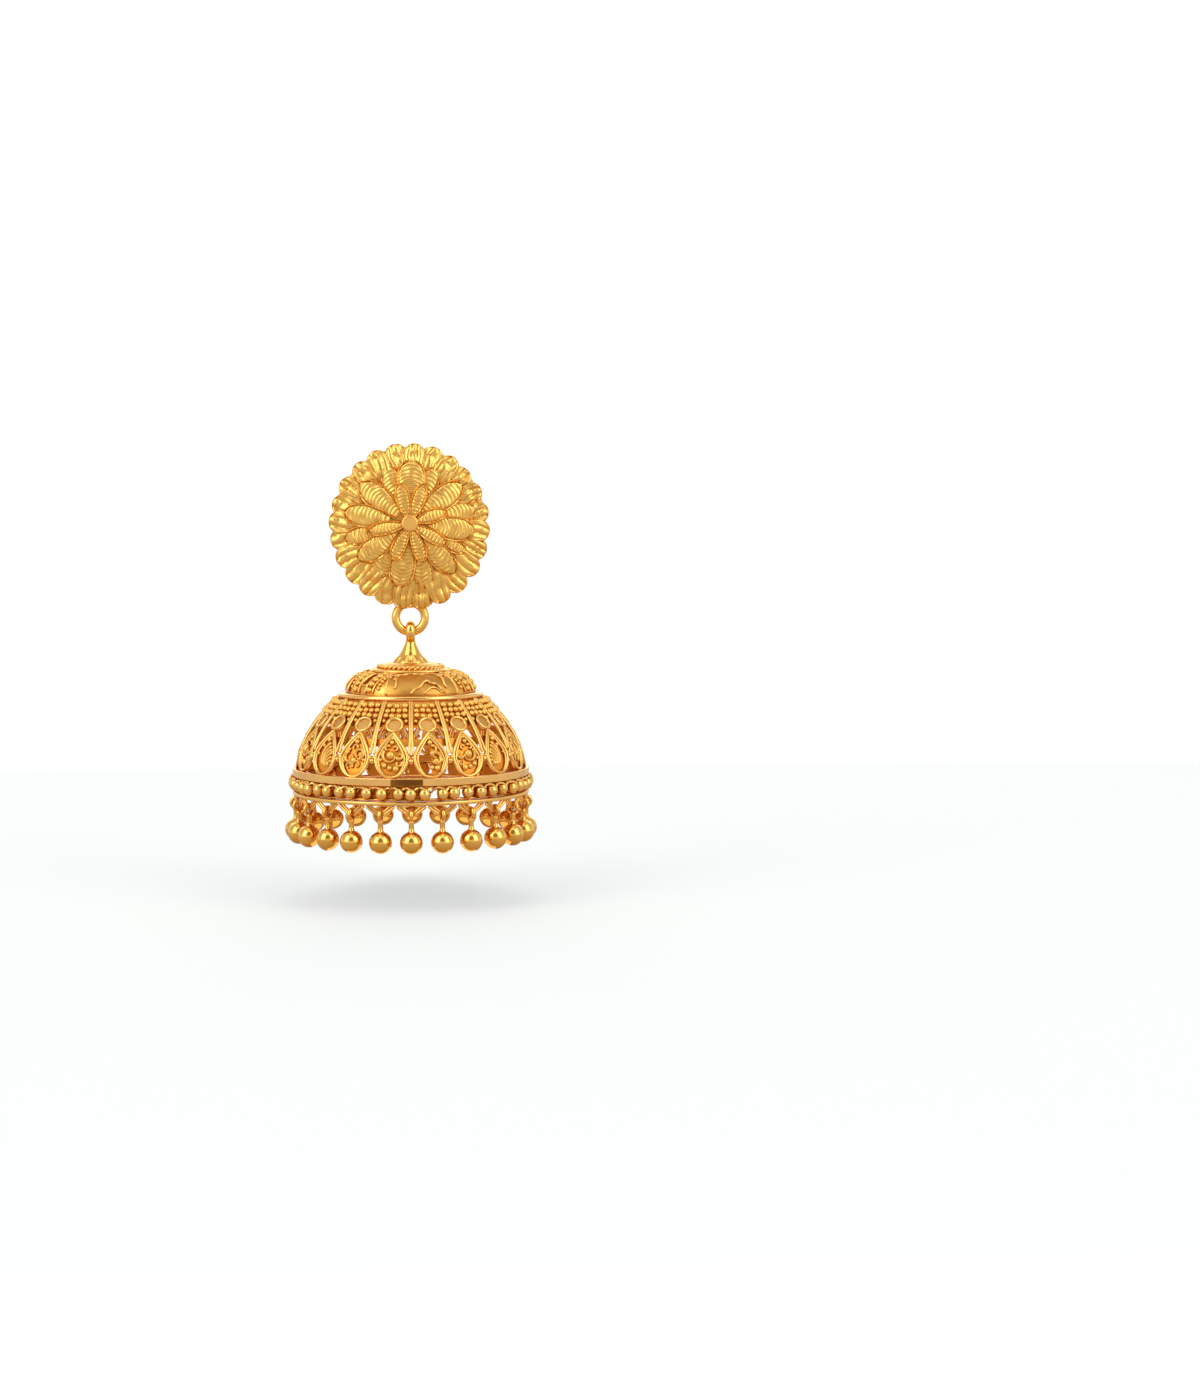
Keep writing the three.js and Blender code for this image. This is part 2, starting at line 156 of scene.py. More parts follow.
def tube(path, radius, sides=8, closed=False, up=(0.0, 0.0, 1.0)):
    """Round wire along a path, with domed ends where the path is open."""
    path = np.asarray(path, float)
    radius = np.array(np.broadcast_to(radius, len(path)), float)
    up = np.array(np.broadcast_to(np.asarray(up, float), path.shape), float)
    if closed:
        tangent = unit(np.roll(path, -1, 0) - np.roll(path, 1, 0))
    else:
        tangent = unit(np.gradient(path, axis=0))
        reach, shrink = np.array([[0.5], [0.85], [0.98]]), np.array([0.87, 0.53, 0.2])
        head = path[0] - tangent[0] * (radius[0] * reach)
        tail = path[-1] + tangent[-1] * (radius[-1] * reach)
        path = np.vstack([head[::-1], path, tail])
        radius = np.concatenate([radius[0] * shrink[::-1], radius, radius[-1] * shrink])
        tangent = np.pad(tangent, ((3, 3), (0, 0)), "edge")
        up = np.pad(up, ((3, 3), (0, 0)), "edge")
    side = unit(np.cross(tangent, up))
    lift = np.cross(side, tangent)
    turn = circle(sides)
    ring = np.cos(turn)[None, :, None] * side[:, None] + np.sin(turn)[None, :, None] * lift[:, None]
    points = (path[:, None] + ring * radius[:, None, None]).reshape(-1, 3)
    faces = quads(len(path), sides, wrap_rows=closed, wrap_columns=True)
    if not closed:
        faces.append(list(range(sides)))
        last = (len(path) - 1) * sides
        faces.append([last + i for i in reversed(range(sides))])
    return points, faces


def ball(centre, radius, rings=8, segments=12):
    """Round bead; radius is one number, or three for a squeezed one."""
    height = np.arange(1, rings) * math.pi / rings
    turn = circle(segments)
    grid = np.stack(
        [
            np.sin(height)[:, None] * np.cos(turn)[None],
            np.sin(height)[:, None] * np.sin(turn)[None],
            np.repeat(np.cos(height)[:, None], segments, 1),
        ],
        axis=-1,
    ).reshape(-1, 3)
    points = np.vstack([grid, [[0, 0, 1], [0, 0, -1]]]) * radius + np.asarray(centre, float)
    faces = [face[::-1] for face in quads(rings - 1, segments, wrap_columns=True)]
    top, bottom = len(grid), len(grid) + 1
    last = (rings - 2) * segments
    for i in range(segments):
        j = (i + 1) % segments
        faces.append([top, i, j])
        faces.append([bottom, last + j, last + i])
    return points, faces


def turned(profile, segments=96, closed=False):
    """Piece turned about Z from (radius, height) points, bottom up on the outside."""
    profile = np.asarray(profile, float)
    if not closed:
        foot, head = profile[0], profile[-1]
        profile = profile[1:-1]
    turn = circle(segments)
    points = about(profile[:, :1], turn[None], profile[:, 1:]).reshape(-1, 3)
    faces = quads(len(profile), segments, wrap_rows=closed, wrap_columns=True)
    if not closed:
        points = np.vstack([points, [0, 0, foot[1]], [0, 0, head[1]]])
        low, high = len(points) - 2, len(points) - 1
        last = (len(profile) - 1) * segments
        for i in range(segments):
            j = (i + 1) % segments
            faces.append([low, j, i])
            faces.append([high, last + i, last + j])
    return points, faces


def rounded(corners, radius, steps=4):
    """Closed section with each corner of a convex outline rounded."""
    corners = np.asarray(corners, float)
    outline = []
    for i, corner in enumerate(corners):
        before = unit(corners[i - 1] - corner) * radius
        after = unit(corners[(i + 1) % len(corners)] - corner) * radius
        for k in range(steps + 1):
            t = k / steps
            outline.append(corner + before * (1 - t) ** 2 + after * t**2)
    return np.array(outline)


def spun(shape, turn):
    """Shape turned about the Z axis."""
    points, faces = shape
    c, s = math.cos(turn), math.sin(turn)
    return points @ np.array([[c, s, 0], [-s, c, 0], [0, 0, 1]]), faces


def facing(shape):
    """Shape that was laid flat, facing +Z, stood up to face -Y."""
    points, faces = shape
    return points[:, [0, 2, 1]] * [1, -1, 1], faces


def curved_plate(turns, section):
    """Plate bent about the axis, from the four (radius, height) corners of its section."""
    points = np.stack([about(reach, turns, height) for reach, height in section], axis=1)
    last = (len(turns) - 1) * 4
    faces = quads(len(turns), 4, wrap_columns=True)
    return points.reshape(-1, 3), faces + [[0, 1, 2, 3], [last + 3, last + 2, last + 1, last]]


def flat_ring(radius, depth, low, high, corner, segments, bevel=0.0):
    """Ring about the axis, from its outer radius, depth inwards, heights and corner radius."""
    outer = [(radius, low + bevel), (radius, high - bevel)]
    inner = [(radius - depth, high), (radius - depth, low)]
    return turned(rounded(outer + inner, corner), segments, True)


def eye_ring(radius, thick, height, steps, sides):
    """Wire eye, open from side to side."""
    turn = circle(steps)
    path = np.stack([0 * turn, radius * np.sin(turn), height + radius * np.cos(turn)], axis=1)
    return tube(path, thick, sides, closed=True, up=(1, 0, 0))


def piece(name, shapes, material, body, slot, nodes=(), at=(0, 0, 0), crease=45):
    """One object from its shapes, riding on a body and standing for CAD nodes."""
    points, faces, start = [], [], 0
    for shape_points, shape_faces in shapes:
        points.append(shape_points)
        faces.extend([[start + i for i in face] for face in shape_faces])
        start += len(shape_points)
    mesh = bpy.data.meshes.new(name)
    mesh.from_pydata((np.vstack(points) + np.asarray(at, float)) * MM, [], faces)
    mesh.validate()
    mesh.shade_smooth()
    mesh.set_sharp_from_angle(angle=math.radians(crease))
    mesh.materials.append(golds[material])
    made = bpy.data.objects.new(name, mesh)
    bpy.context.scene.collection.objects.link(made)
    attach(made, body)
    if nodes:
        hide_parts(*nodes)


def drop_piece(name, shapes, material, nodes=(), slot="polished_gold", crease=45):
    """Piece of the drop, worked out about the bell's axis."""
    piece(name, shapes, material, "drop", slot, nodes, AXIS, crease)


class Bell:
    """Half section of a bell wall, one quadratic curve from its narrow top to its mouth."""

    def __init__(self, top_radius, top, mouth_radius, mouth, shoulder):
        bend = (mouth_radius - (mouth_radius - top_radius) * 0.06, mouth + shoulder)
        t = np.linspace(0, 1, 400)[:, None]
        start, middle, end = np.array([top_radius, top]), np.array(bend), np.array([mouth_radius, mouth])
        self.line = (1 - t) ** 2 * start + 2 * t * (1 - t) * middle + t**2 * end
        tangent = unit(np.gradient(self.line, axis=0))
        self.normal = np.stack([-tangent[:, 1], tangent[:, 0]], axis=1)
        steps = np.linalg.norm(np.diff(self.line, axis=0), axis=1)
        self.along = np.concatenate([[0], np.cumsum(steps)])
        self.length = self.along[-1]

    def at(self, down):
        """Radius, height and outward normal at a distance down the wall."""
        radius = np.interp(down, self.along, self.line[:, 0])
        height = np.interp(down, self.along, self.line[:, 1])
        normal = [np.interp(down, self.along, self.normal[:, k]) for k in (0, 1)]
        return radius, height, normal[0], normal[1]

    def polar(self, angle, down, out):
        """Points on the wall, and the wall's normal there, from angles in degrees."""
        angle, down, out = np.broadcast_arrays(*[np.asarray(v, float) for v in (angle, down, out)])
        radius, height, outward, upward = self.at(down)
        turn = np.radians(angle)
        points = about(radius + outward * out, turn, height + upward * out)
        return points, about(outward, turn, upward)

    def lay(self, angle, across, down, out):
        """The same for flat places about one angle."""
        across, down = np.asarray(across, float), np.asarray(down, float)
        return self.polar(angle + np.degrees(across / self.at(down)[0]), down, out)

    def wire(self, angle, path, lift, radius, sides=8, closed=False):
        """Wire soldered along a flat path of (across, down) points."""
        path = np.asarray(path, float)
        points, normals = self.lay(angle, path[:, 0], path[:, 1], lift)
        return tube(points, radius, sides, closed, normals)

    def bead(self, angle, across, down, lift, radius, rings=6, segments=10):
        """Bead resting on the wall."""
        point, _ = self.lay(angle, across, down, lift)
        return ball(point, radius, rings, segments)

    def wall(self, start, end, thickness, steps=24, segments=144):
        """Even wall between two distances down."""
        down = np.linspace(start, end, steps)
        radius, height, outward, upward = self.at(down)
        outside = np.stack([radius, height], axis=1)[::-1]
        inside = np.stack([radius - outward * thickness, height - upward * thickness], axis=1)
        return turned(np.vstack([outside, inside]), segments, closed=True)

    def sheet(self, angle, down, front, back):
        """Thin plate between two depths, from grids of angles and distances down."""
        rows, columns = np.shape(angle)
        outside, _ = self.polar(angle, down, front)
        inside, _ = self.polar(angle, down, back)
        count = rows * columns
        grid = quads(rows, columns)
        faces = [face[::-1] for face in grid] + [[count + i for i in face] for face in grid]
        edge = border(rows, columns)
        for i, here in enumerate(edge):
            after = edge[(i + 1) % len(edge)]
            faces.append([here, count + here, count + after, after])
        return np.vstack([outside.reshape(-1, 3), inside.reshape(-1, 3)]), faces


# Materials

# Colour of the painted shade that the golds turn to in recesses and inside the bell
PAINTED_SHADE_GOLD = (0.78, 0.35, 0.05, 1)
WARM_GOLD = (0.88, 0.54, 0.138, 1)
# Values of a gold: bright colour and the colour of its painted shade, reach of the painted shade in
# recesses, roughness and its spread, grain size and depth; lengths in metres
FINISH = ("Bright", "Deep", "Painted Shade Reach", "Roughness", "Roughness Spread", "Grain Size", "Grain Depth")
GOLDS = {
    "polished_gold": ((0.89, 0.55, 0.14, 1), PAINTED_SHADE_GOLD, 0.0005, 0.12, 0.1, 3000, 0.000004),
    "frosted_gold": (WARM_GOLD, (0.72, 0.3, 0.045, 1), 0.0007, 0.33, 0.16, 6000, 0.00002),
    "petal_gold": (WARM_GOLD, (0.62, 0.27, 0.04, 1), 0.0004, 0.3, 0.14, 6000, 0.000012),
    # Darker, more orange copy of the gold for the sheets inside and behind the work: painted shade
    "lining_shade_gold": ((0.85, 0.36, 0.05, 1), (0.6, 0.2, 0.02, 1), 0.0006, 0.38, 0.14, 5000, 0.000012),
    "wire_gold": ((0.9, 0.575, 0.17, 1), PAINTED_SHADE_GOLD, 0.0005, 0.27, 0.12, 5000, 0.000008),
    "button_gold": ((0.9, 0.52, 0.14, 1), PAINTED_SHADE_GOLD, 0.0004, 0.38, 0.1, 9000, 0.000008),
    "grain_gold": ((0.92, 0.57, 0.145, 1), PAINTED_SHADE_GOLD, 0.0004, 0.4, 0.1, 6000, 0.00001),
    "band_gold": ((0.92, 0.57, 0.2, 1), PAINTED_SHADE_GOLD, 0.0002, 0.16, 0.12, 2500, 0.000006),
    # Very dark gold for the plate on the band's front: painted dark reflection
    "band_reflection_gold": ((0.29, 0.115, 0.024, 1), (0.2, 0.07, 0.015, 1), 0.0001, 0.12, 0.1, 2500, 0.000004),
    # Darker copy of the gold for the dome's panels: painted shade
    "panel_shade_gold": ((0.6, 0.315, 0.072, 1), (0.62, 0.24, 0.03, 1), 0.0004, 0.38, 0.12, 6000, 0.000014),
    # Darker copy of the gold for the discs: painted shade
    "disc_shade_gold": ((0.66, 0.385, 0.125, 1), PAINTED_SHADE_GOLD, 0.0003, 0.45, 0.1, 9000, 0.000012),
}
# Reach of the painted shade inside the bell, in metres
HOLLOW_PAINTED_SHADE_REACH = 0.02


def new_node(tree, kind, values=(), **settings):
    """Shader node with its settings, and the values of inputs that nothing is linked to."""
    made = tree.nodes.new(kind)
    for key, value in settings.items():
        setattr(made, key, value)
    for key, value in dict(values).items():
        made.inputs[key].default_value = value
    return made


def link(tree, *wires):
    """Links, each given as node, output, node and input."""
    for start, output, end, entry in wires:
        tree.links.new(start.outputs[output], end.inputs[entry])


def gold_surface():
    """Shared finish of the gold: tone, painted shade in recesses and inside the bell, wear and grain."""
    group = bpy.data.node_groups.new("gold_surface", "ShaderNodeTree")
    sockets = [(name, "INPUT", "NodeSocketColor") for name in FINISH[:2]]
    sockets += [(name, "INPUT", "NodeSocketFloat") for name in FINISH[2:]]
    sockets += [("Color", "OUTPUT", "NodeSocketColor"), ("Roughness", "OUTPUT", "NodeSocketFloat")]
    sockets += [("Normal", "OUTPUT", "NodeSocketVector")]
    for name, direction, kind in sockets:
        group.interface.new_socket(name=name, in_out=direction, socket_type=kind)
    given = group.nodes.new("NodeGroupInput")
    result = group.nodes.new("NodeGroupOutput")
    place = new_node(group, "ShaderNodeTexCoord")

    tone = new_node(group, "ShaderNodeTexNoise", {"Scale": 420.0, "Detail": 3.0})
    tone_range = new_node(group, "ShaderNodeMapRange", {"To Min": 0.88, "To Max": 1.08})
    both = new_node(group, "ShaderNodeMath", operation="MULTIPLY")
    # Painted shade: ambient occlusion over a short reach (recesses) and a long reach (the bell's hollow)
    # mixes the colour from bright towards the painted shade colour
    for entry, opened in enumerate([0.9, 0.72]):
        near = new_node(group, "ShaderNodeAmbientOcclusion", {"Distance": HOLLOW_PAINTED_SHADE_REACH}, samples=5)
        share = new_node(group, "ShaderNodeMapRange", {"From Min": 0.3, "From Max": opened})
        link(group, (near, "AO", share, "Value"), (share, "Result", both, entry))
        if entry == 0:
            link(group, (given, "Painted Shade Reach", near, "Distance"))
    shade = new_node(group, "ShaderNodeMix", data_type="RGBA")
    toned = new_node(group, "ShaderNodeVectorMath", operation="SCALE")
    link(
        group, (place, "Object", tone, "Vector"), (tone, "Fac", tone_range, "Value"),
        (both, "Value", shade, "Factor"), (given, "Deep", shade, "A"), (given, "Bright", shade, "B"),
        (shade, "Result", toned, "Vector"), (tone_range, "Result", toned, "Scale"),
        (toned, "Vector", result, "Color"),
    )

    wear = new_node(group, "ShaderNodeTexNoise", {"Scale": 1600.0, "Detail": 4.0})
    wear_centre = new_node(group, "ShaderNodeMath", {1: 0.5}, operation="SUBTRACT")
    rough = new_node(group, "ShaderNodeMath", operation="MULTIPLY_ADD", use_clamp=True)
    grain = new_node(group, "ShaderNodeTexNoise", {"Detail": 2.0})
    bump = new_node(group, "ShaderNodeBump", {"Strength": 1.0})
    link(
        group, (place, "Object", wear, "Vector"), (wear, "Fac", wear_centre, 0),
        (wear_centre, "Value", rough, 0), (given, "Roughness Spread", rough, 1),
        (given, "Roughness", rough, 2), (rough, "Value", result, "Roughness"),
        (place, "Object", grain, "Vector"), (given, "Grain Size", grain, "Scale"),
        (given, "Grain Depth", bump, "Distance"), (grain, "Fac", bump, "Height"),
        (bump, "Normal", result, "Normal"),
    )
    return group


def gold(name, surface, values):
    """Gold material with its own values for the shared finish."""
    material = bpy.data.materials.new(name)
    material.use_nodes = True
    tree = material.node_tree
    shader = tree.nodes["Principled BSDF"]
    shader.inputs["Metallic"].default_value = 1.0
    finish = new_node(tree, "ShaderNodeGroup", zip(FINISH, values), node_tree=surface)
    link(tree, (finish, "Color", shader, "Base Color"), (finish, "Roughness", shader, "Roughness"))
    link(tree, (finish, "Normal", shader, "Normal"))
    return material


surface = gold_surface()
golds = {name: gold(name, surface, values) for name, values in GOLDS.items()}


# The flower stud

# Outer petals: angle from +X in degrees, and tip from the centre
LOBES = [
    (9, 7.93), (26, 7.87), (42, 7.82), (56, 7.91), (71, 7.96), (86, 7.92), (101, 7.98), (117, 7.98),
    (132, 7.93), (149, 7.97), (165, 7.94), (179, 8.04), (193, 8.05), (208, 8.2), (223, 8.32), (237, 8.42),
    (251, 8.5), (265, 8.55), (279, 8.6), (293, 8.6), (308, 8.5), (324, 8.32), (339, 8.11), (354, 7.98),
]
# Middle petals: angle from +X in degrees, base, tip, width and lift
LEAVES = [
    (88, 1.6, 6.3, 2.99, 0.26), (112, 1.6, 6.05, 2.34, 0.14), (65, 1.6, 6.1, 2.08, 0.14),
    (37, 1.3, 6.45, 2.535, 0.26), (12, 2.2, 6.65, 2.34, 0.14), (-7, 1.8, 6.45, 2.535, 0.26),
    (-27, 2.8, 6.25, 1.56, 0.16), (-48, 1.6, 6.65, 2.34, 0.26), (-76, 2.0, 6.55, 2.34, 0.14),
    (-100, 1.6, 6.45, 2.73, 0.26), (-124, 1.8, 6.45, 2.405, 0.14), (-145, 1.6, 6.25, 2.405, 0.26),
    (-166, 2.2, 6.65, 2.08, 0.14), (170.5, 2.0, 6.55, 2.405, 0.3), (141, 1.4, 6.25, 2.6, 0.24),
]
# Inner petals: angle from +X in degrees, tip and width
SPOONS = [
    (105, 4.05, 1.595), (70, 4.1, 1.54), (18, 3.85, 1.485), (-30, 4.15, 1.43),
    (-71, 4.1, 1.485), (-115, 4.1, 1.54), (-169, 4.2, 1.485),
]
LOBE_BASE = 3.2
SPOON_BASE = 0.6
SPOON_LIFT = 0.52
PLATE_RIM = 0.45
PLATE_RISE = 0.95
PLATE_SHARE = 0.93
BUTTON_RISE = 0.72


def plate_height(radius):
    """Front of the flower's domed plate."""
    return PLATE_RIM + PLATE_RISE * (1 - (radius / FLOWER_RADIUS) ** 2)


def hammering(x, y, depth):
    """Small uneven dents of hand stamping."""
    waves = [(1.7, 2.3, 0.4), (-2.9, 1.3, 2.2), (3.7, -3.1, 4.0), (-1.1, -4.3, 1.1), (5.3, 2.1, 3.0)]
    return depth * sum(np.sin(a * x + b * y + c) for a, b, c in waves)


def petal_outline(base, full, turned_in, power):
    """Width of a petal along it: its share at the base, where it is full and where it rounds off."""
    def outline(along):
        rise = base + (1 - base) * np.sin(math.pi / 2 * np.clip(along / full, 0, 1))
        fall = np.clip(along - turned_in, 0, 1) / (1 - turned_in)
        return rise * np.sqrt(np.clip(1 - fall**power, 0, 1))
    return outline


lobe_outline = petal_outline(0.62, 0.7, 0.78, 2.3)
leaf_outline = petal_outline(0.5, 0.6, 0.6, 2.2)
spoon_outline = petal_outline(0.42, 0.55, 0.55, 2.4)


def petal(at, base, tip, width, lift, dome, relief, outline, rows, columns, dents, sink=0.6):
    """Petal lying on the plate; relief(y, x, half) is the stamped pattern."""
    along = np.linspace(0, 1, rows)[:, None]
    across = np.linspace(-1, 1, columns)[None]
    fullness = outline(along)
    half = np.maximum(width / 2 * fullness, 0.03)
    x = half * across
    y = base + (tip - base) * along + 0 * across
    top = dome * (1 - across**2) ** 0.6 * fullness + relief(y, x, half) * np.clip(3 * fullness, 0, 1)
    turn = math.radians(at - 90)
    u = x * math.cos(turn) - y * math.sin(turn)
    v = x * math.sin(turn) + y * math.cos(turn)
    z = plate_height(y) + lift + top + hammering(u, v, dents)
    points = np.stack([u, v, z], axis=-1).reshape(-1, 3)
    faces = [face[::-1] for face in quads(rows, columns)]
    edge = border(rows, columns)
    under = points[edge].copy()
    under[:, 2] = np.maximum(under[:, 2] - sink, 0.02)
    start, count = len(points), len(edge)
    for i in range(count):
        j = (i + 1) % count
        faces.append([edge[i], start + i, start + j, edge[j]])
    faces.append([start + i for i in range(count)])
    return np.vstack([points, under]), faces


def ribbed(pitch, depth, arch, rim):
    """Stamped pattern of arched cross ribs with sharp grooves, inside a raised rim."""
    def relief(y, x, half):
        edge = half - np.abs(x)
        rib = np.abs(np.cos(math.pi * (y + arch * x**2) / pitch)) ** 0.6 - 0.6
        inside = np.clip((edge - 0.2) / 0.1, 0, 1)
        bead = np.exp(-(((edge - 0.1) / 0.07) ** 2))
        groove = np.exp(-(((edge - 0.25) / 0.06) ** 2))
        return depth * rib * inside + rim * bead - 0.45 * rim * groove
    return relief


def fluted(pitch, depth, phase, rim):
    """Stamped pattern of lengthwise folds with a raised edge, sunk under the whorls above."""
    def relief(y, x, half):
        edge = half - np.abs(x)
        sway = 0.8 * np.sin(1.3 * y + 2 * phase)
        fold = np.abs(np.cos(math.pi * x / pitch + phase + sway)) ** 0.7 - 0.6
        swell = 0.4 + 0.6 * np.clip((y - 5.0) / 2.0, 0, 1)
        bead = np.exp(-(((edge - 0.11) / 0.08) ** 2))
        hollow = 0.16 * np.exp(-(((y - 7.0 - 0.3 * phase) / 0.35) ** 2)) * np.exp(-((x / 0.45) ** 2))
        sunk = 0.34 * np.clip((5.7 - y) / 1.3, 0, 1)
        return depth * fold * swell * np.clip((edge - 0.1) / 0.2, 0, 1) - hollow + rim * bead - sunk
    return relief


def flower():
    """Stud front: plate, three whorls of petals and the button."""
    plate_edge = FLOWER_RADIUS * PLATE_SHARE
    rim = [(plate_edge, 0.0), (plate_edge + 0.08, 0.1), (plate_edge + 0.08, 0.3), (plate_edge, 0.4)]
    cap = [(r, plate_height(r) - 0.05) for r in np.linspace(plate_edge - 0.4, 0.3, 12)]
    lobes = [turned([(0, 0), (plate_edge * 0.5, 0.0), *rim, *cap, (0, plate_height(0))], 104)]
    leaves, spoons = [], []
    for i, (at, tip) in enumerate(LOBES):
        width = TAU * tip * PLATE_SHARE / len(LOBES) * rng.uniform(1.04, 1.14)
        relief = fluted(rng.choice([0.6, 0.75, 0.9]), 0.19, rng.uniform(-1.2, 1.2), 0.12)
        lift = 0.02 + 0.08 * (i % 2)
        lobes.append(petal(at, LOBE_BASE, tip, width, lift, 0.2, relief, lobe_outline, 52, 29, 0.022, 0.9))
    for leaf in LEAVES:
        relief = ribbed(rng.uniform(0.36, 0.42), 0.08, rng.uniform(0.25, 0.5), 0.15)
        leaves.append(petal(*leaf, 0.18, relief, leaf_outline, 120, 33, 0.02))
    for at, tip, width in SPOONS:
        relief = ribbed(0.36, 0.085, 0.3, 0.12)
        place = (at, SPOON_BASE, tip, width, SPOON_LIFT)
        spoons.append(petal(*place, 0.18, relief, spoon_outline, 100, 27, 0.01))
    place = ("stud", "frosted_gold")
    piece("flower_lobes", [facing(s) for s in lobes], "petal_gold", *place, ["rosette"])
    piece("flower_leaves", [facing(s) for s in leaves], "petal_gold", *place)
    piece("flower_spoons", [facing(s) for s in spoons], "petal_gold", *place)
    face = plate_height(0) + BUTTON_RISE
    button = turned([
        (0, 0.6), (0.6, 0.6), (0.8, 1.2), (0.82, face - 0.14), (0.79, face - 0.05), (0.72, face - 0.01),
        (0.5, face), (0, face),
    ], 64)
    piece("flower_button", [facing(button)], "button_gold", *place)


def ear_post():
    """Plain post with a domed tip and a fillet of solder at its root."""
    radius = (post_high[0] - post_low[0]) / 2 + 0.02
    length = post_high[1]
    profile = [(0, 0.0), (radius * 1.9, 0.0), (radius * 1.75, 0.12), (radius * 1.3, 0.28), (radius, 0.6)]
    profile += [(radius, y) for y in np.linspace(1.2, length - 0.5, 8)]
    profile += [(radius * math.cos(t), length - 0.5 + 0.5 * math.sin(t)) for t in np.linspace(0.2, 1.45, 7)]
    points, faces = turned([*profile, (0, length)], 40)
    shape = points[:, [0, 2, 1]], [face[::-1] for face in faces]
    piece("post", [shape], "polished_gold", "stud", "polished_gold", ["ear_post"])


def hanging_ring():
    """Round wire ring soldered behind the flower's lower petals."""
    turn = circle(96)
    path = np.stack([RING_RADIUS * np.sin(turn), 0 * turn, RING_RADIUS * np.cos(turn)], axis=1)
    thick = RING_WIRE * (1 + 0.02 * np.sin(3 * turn + 1))
    ring = tube(path, thick, 24, closed=True, up=(0, 1, 0))
    solder = ball((0, -0.2, RING_RADIUS - 0.1), (0.85, 0.42, 0.4), 12, 20)
    shapes = [ring, solder]
    piece("link_ring", shapes, "polished_gold", "stud", "polished_gold", ["hanging_ring"], RING_CENTRE)


# The drop


def finial():
    """Lobed polished cone with the broad eye that hangs on the ring."""
    eye_wire = 0.325
    eye_radius = (finial_high[2] - PIVOT[2]) - eye_wire
    points, faces = eye_ring(eye_radius, eye_wire, PIVOT[2], 72, 20)
    eye = points * [1.35, 1, 1], faces
    foot = finial_low[2]
    neck = PIVOT[2] - eye_radius + 0.12
    rows = [
        (1.74, 0.0), (1.76, 0.05), (1.73, 0.12), (1.62, 0.24), (1.5, 0.38), (1.35, 0.54), (1.18, 0.72),
        (1.06, 0.9), (0.96, 1.08), (0.86, 1.26), (0.76, 1.44), (0.66, 1.64), (0.56, 1.84), (0.49, 1.96),
        (0.5, 2.04), (0.49, 2.12), (0.46, 2.2), (0.4, 2.28), (0.3, 2.34),
    ]
    profile = [(r, foot + z / 2.34 * (neck - foot)) for r, z in rows]
    points, faces = turned([(0, foot), *profile, (0, neck)], 96)
    turn = np.arctan2(points[:, 0], -points[:, 1])
    bulge = np.exp(-(((points[:, 2] - foot - 0.42) / 0.34) ** 2))
    points[:, :2] *= (1 + 0.2 * bulge * (np.abs(np.sin(3 * turn)) ** 0.8 - 0.7))[:, None]
    drop_piece("finial_cone", [eye, (points, faces)], "polished_gold", ["finial"])


def rope(radius, height, thick, turns, sides):
    """Two wires twisted into a ring of rope."""
    turn = circle(turns * 14)
    shapes = []
    for start in (0, math.pi):
        twist = turn * turns + start
        reach = radius + thick * 0.55 * np.cos(twist)
        path = about(reach, turn, height + thick * 0.55 * np.sin(twist))
        shapes.append(tube(path, thick * 0.56, sides, closed=True, up=about(1.0, turn, 0.0)))
    return shapes


def ring_wire(radius, height, thick, segments=144, sides=12):
    """Plain wire ring about the axis."""
    return tube(about(radius, circle(segments), height), thick, sides, closed=True)


def crown():
    """Low sloped cap with a rope ring on it and a plain wire round its edge."""
    top, foot = crown_high[2] + 0.13, crown_low[2]
    edge = CROWN_RADIUS
    cap = turned([
        (0, foot + 0.2), (edge - 0.6, foot), (edge - 0.1, foot), (edge - 0.04, foot + 0.2),
        (edge - 0.3, foot + 0.28), (edge - 0.62, foot + 0.34), (edge - 0.95, foot + 0.48),
        (edge - 1.25, top - 0.14), (edge - 1.5, top - 0.04), (1.5, top), (0, top),
    ], 128)
    drop_piece("crown_cap", [cap], "frosted_gold", ["crown"], "frosted_gold")
    trims = rope(edge - 0.82, foot + 0.45, 0.24, 18, 10)
    trims.append(ring_wire(edge + 0.02, foot + 0.13, 0.17))
    drop_piece("crown_rope", trims, "wire_gold")


dome = Bell(DOME_TOP_RADIUS, crown_low[2] + 0.02, DOME_FOOT_RADIUS, dome_low[2], DOME_SHOULDER)
GROUP_ANGLES = (71, 191, 311)
PANEL_ANGLES = (11, 131, 251)
SLOT_HALF_WIDTH = 0.4
SLOT_LENGTH = 2.2
BAR_SPACING = 1.1
BAR_SPLAY = 0.08
BAR_HALF_WIDTH = 0.46
BAR_PITCH = 0.6
BAR_BEAD = 0.36
SEED_BEAD = 0.21
SEED_PITCH = 0.4
PANEL_HALF_ANGLE = 34


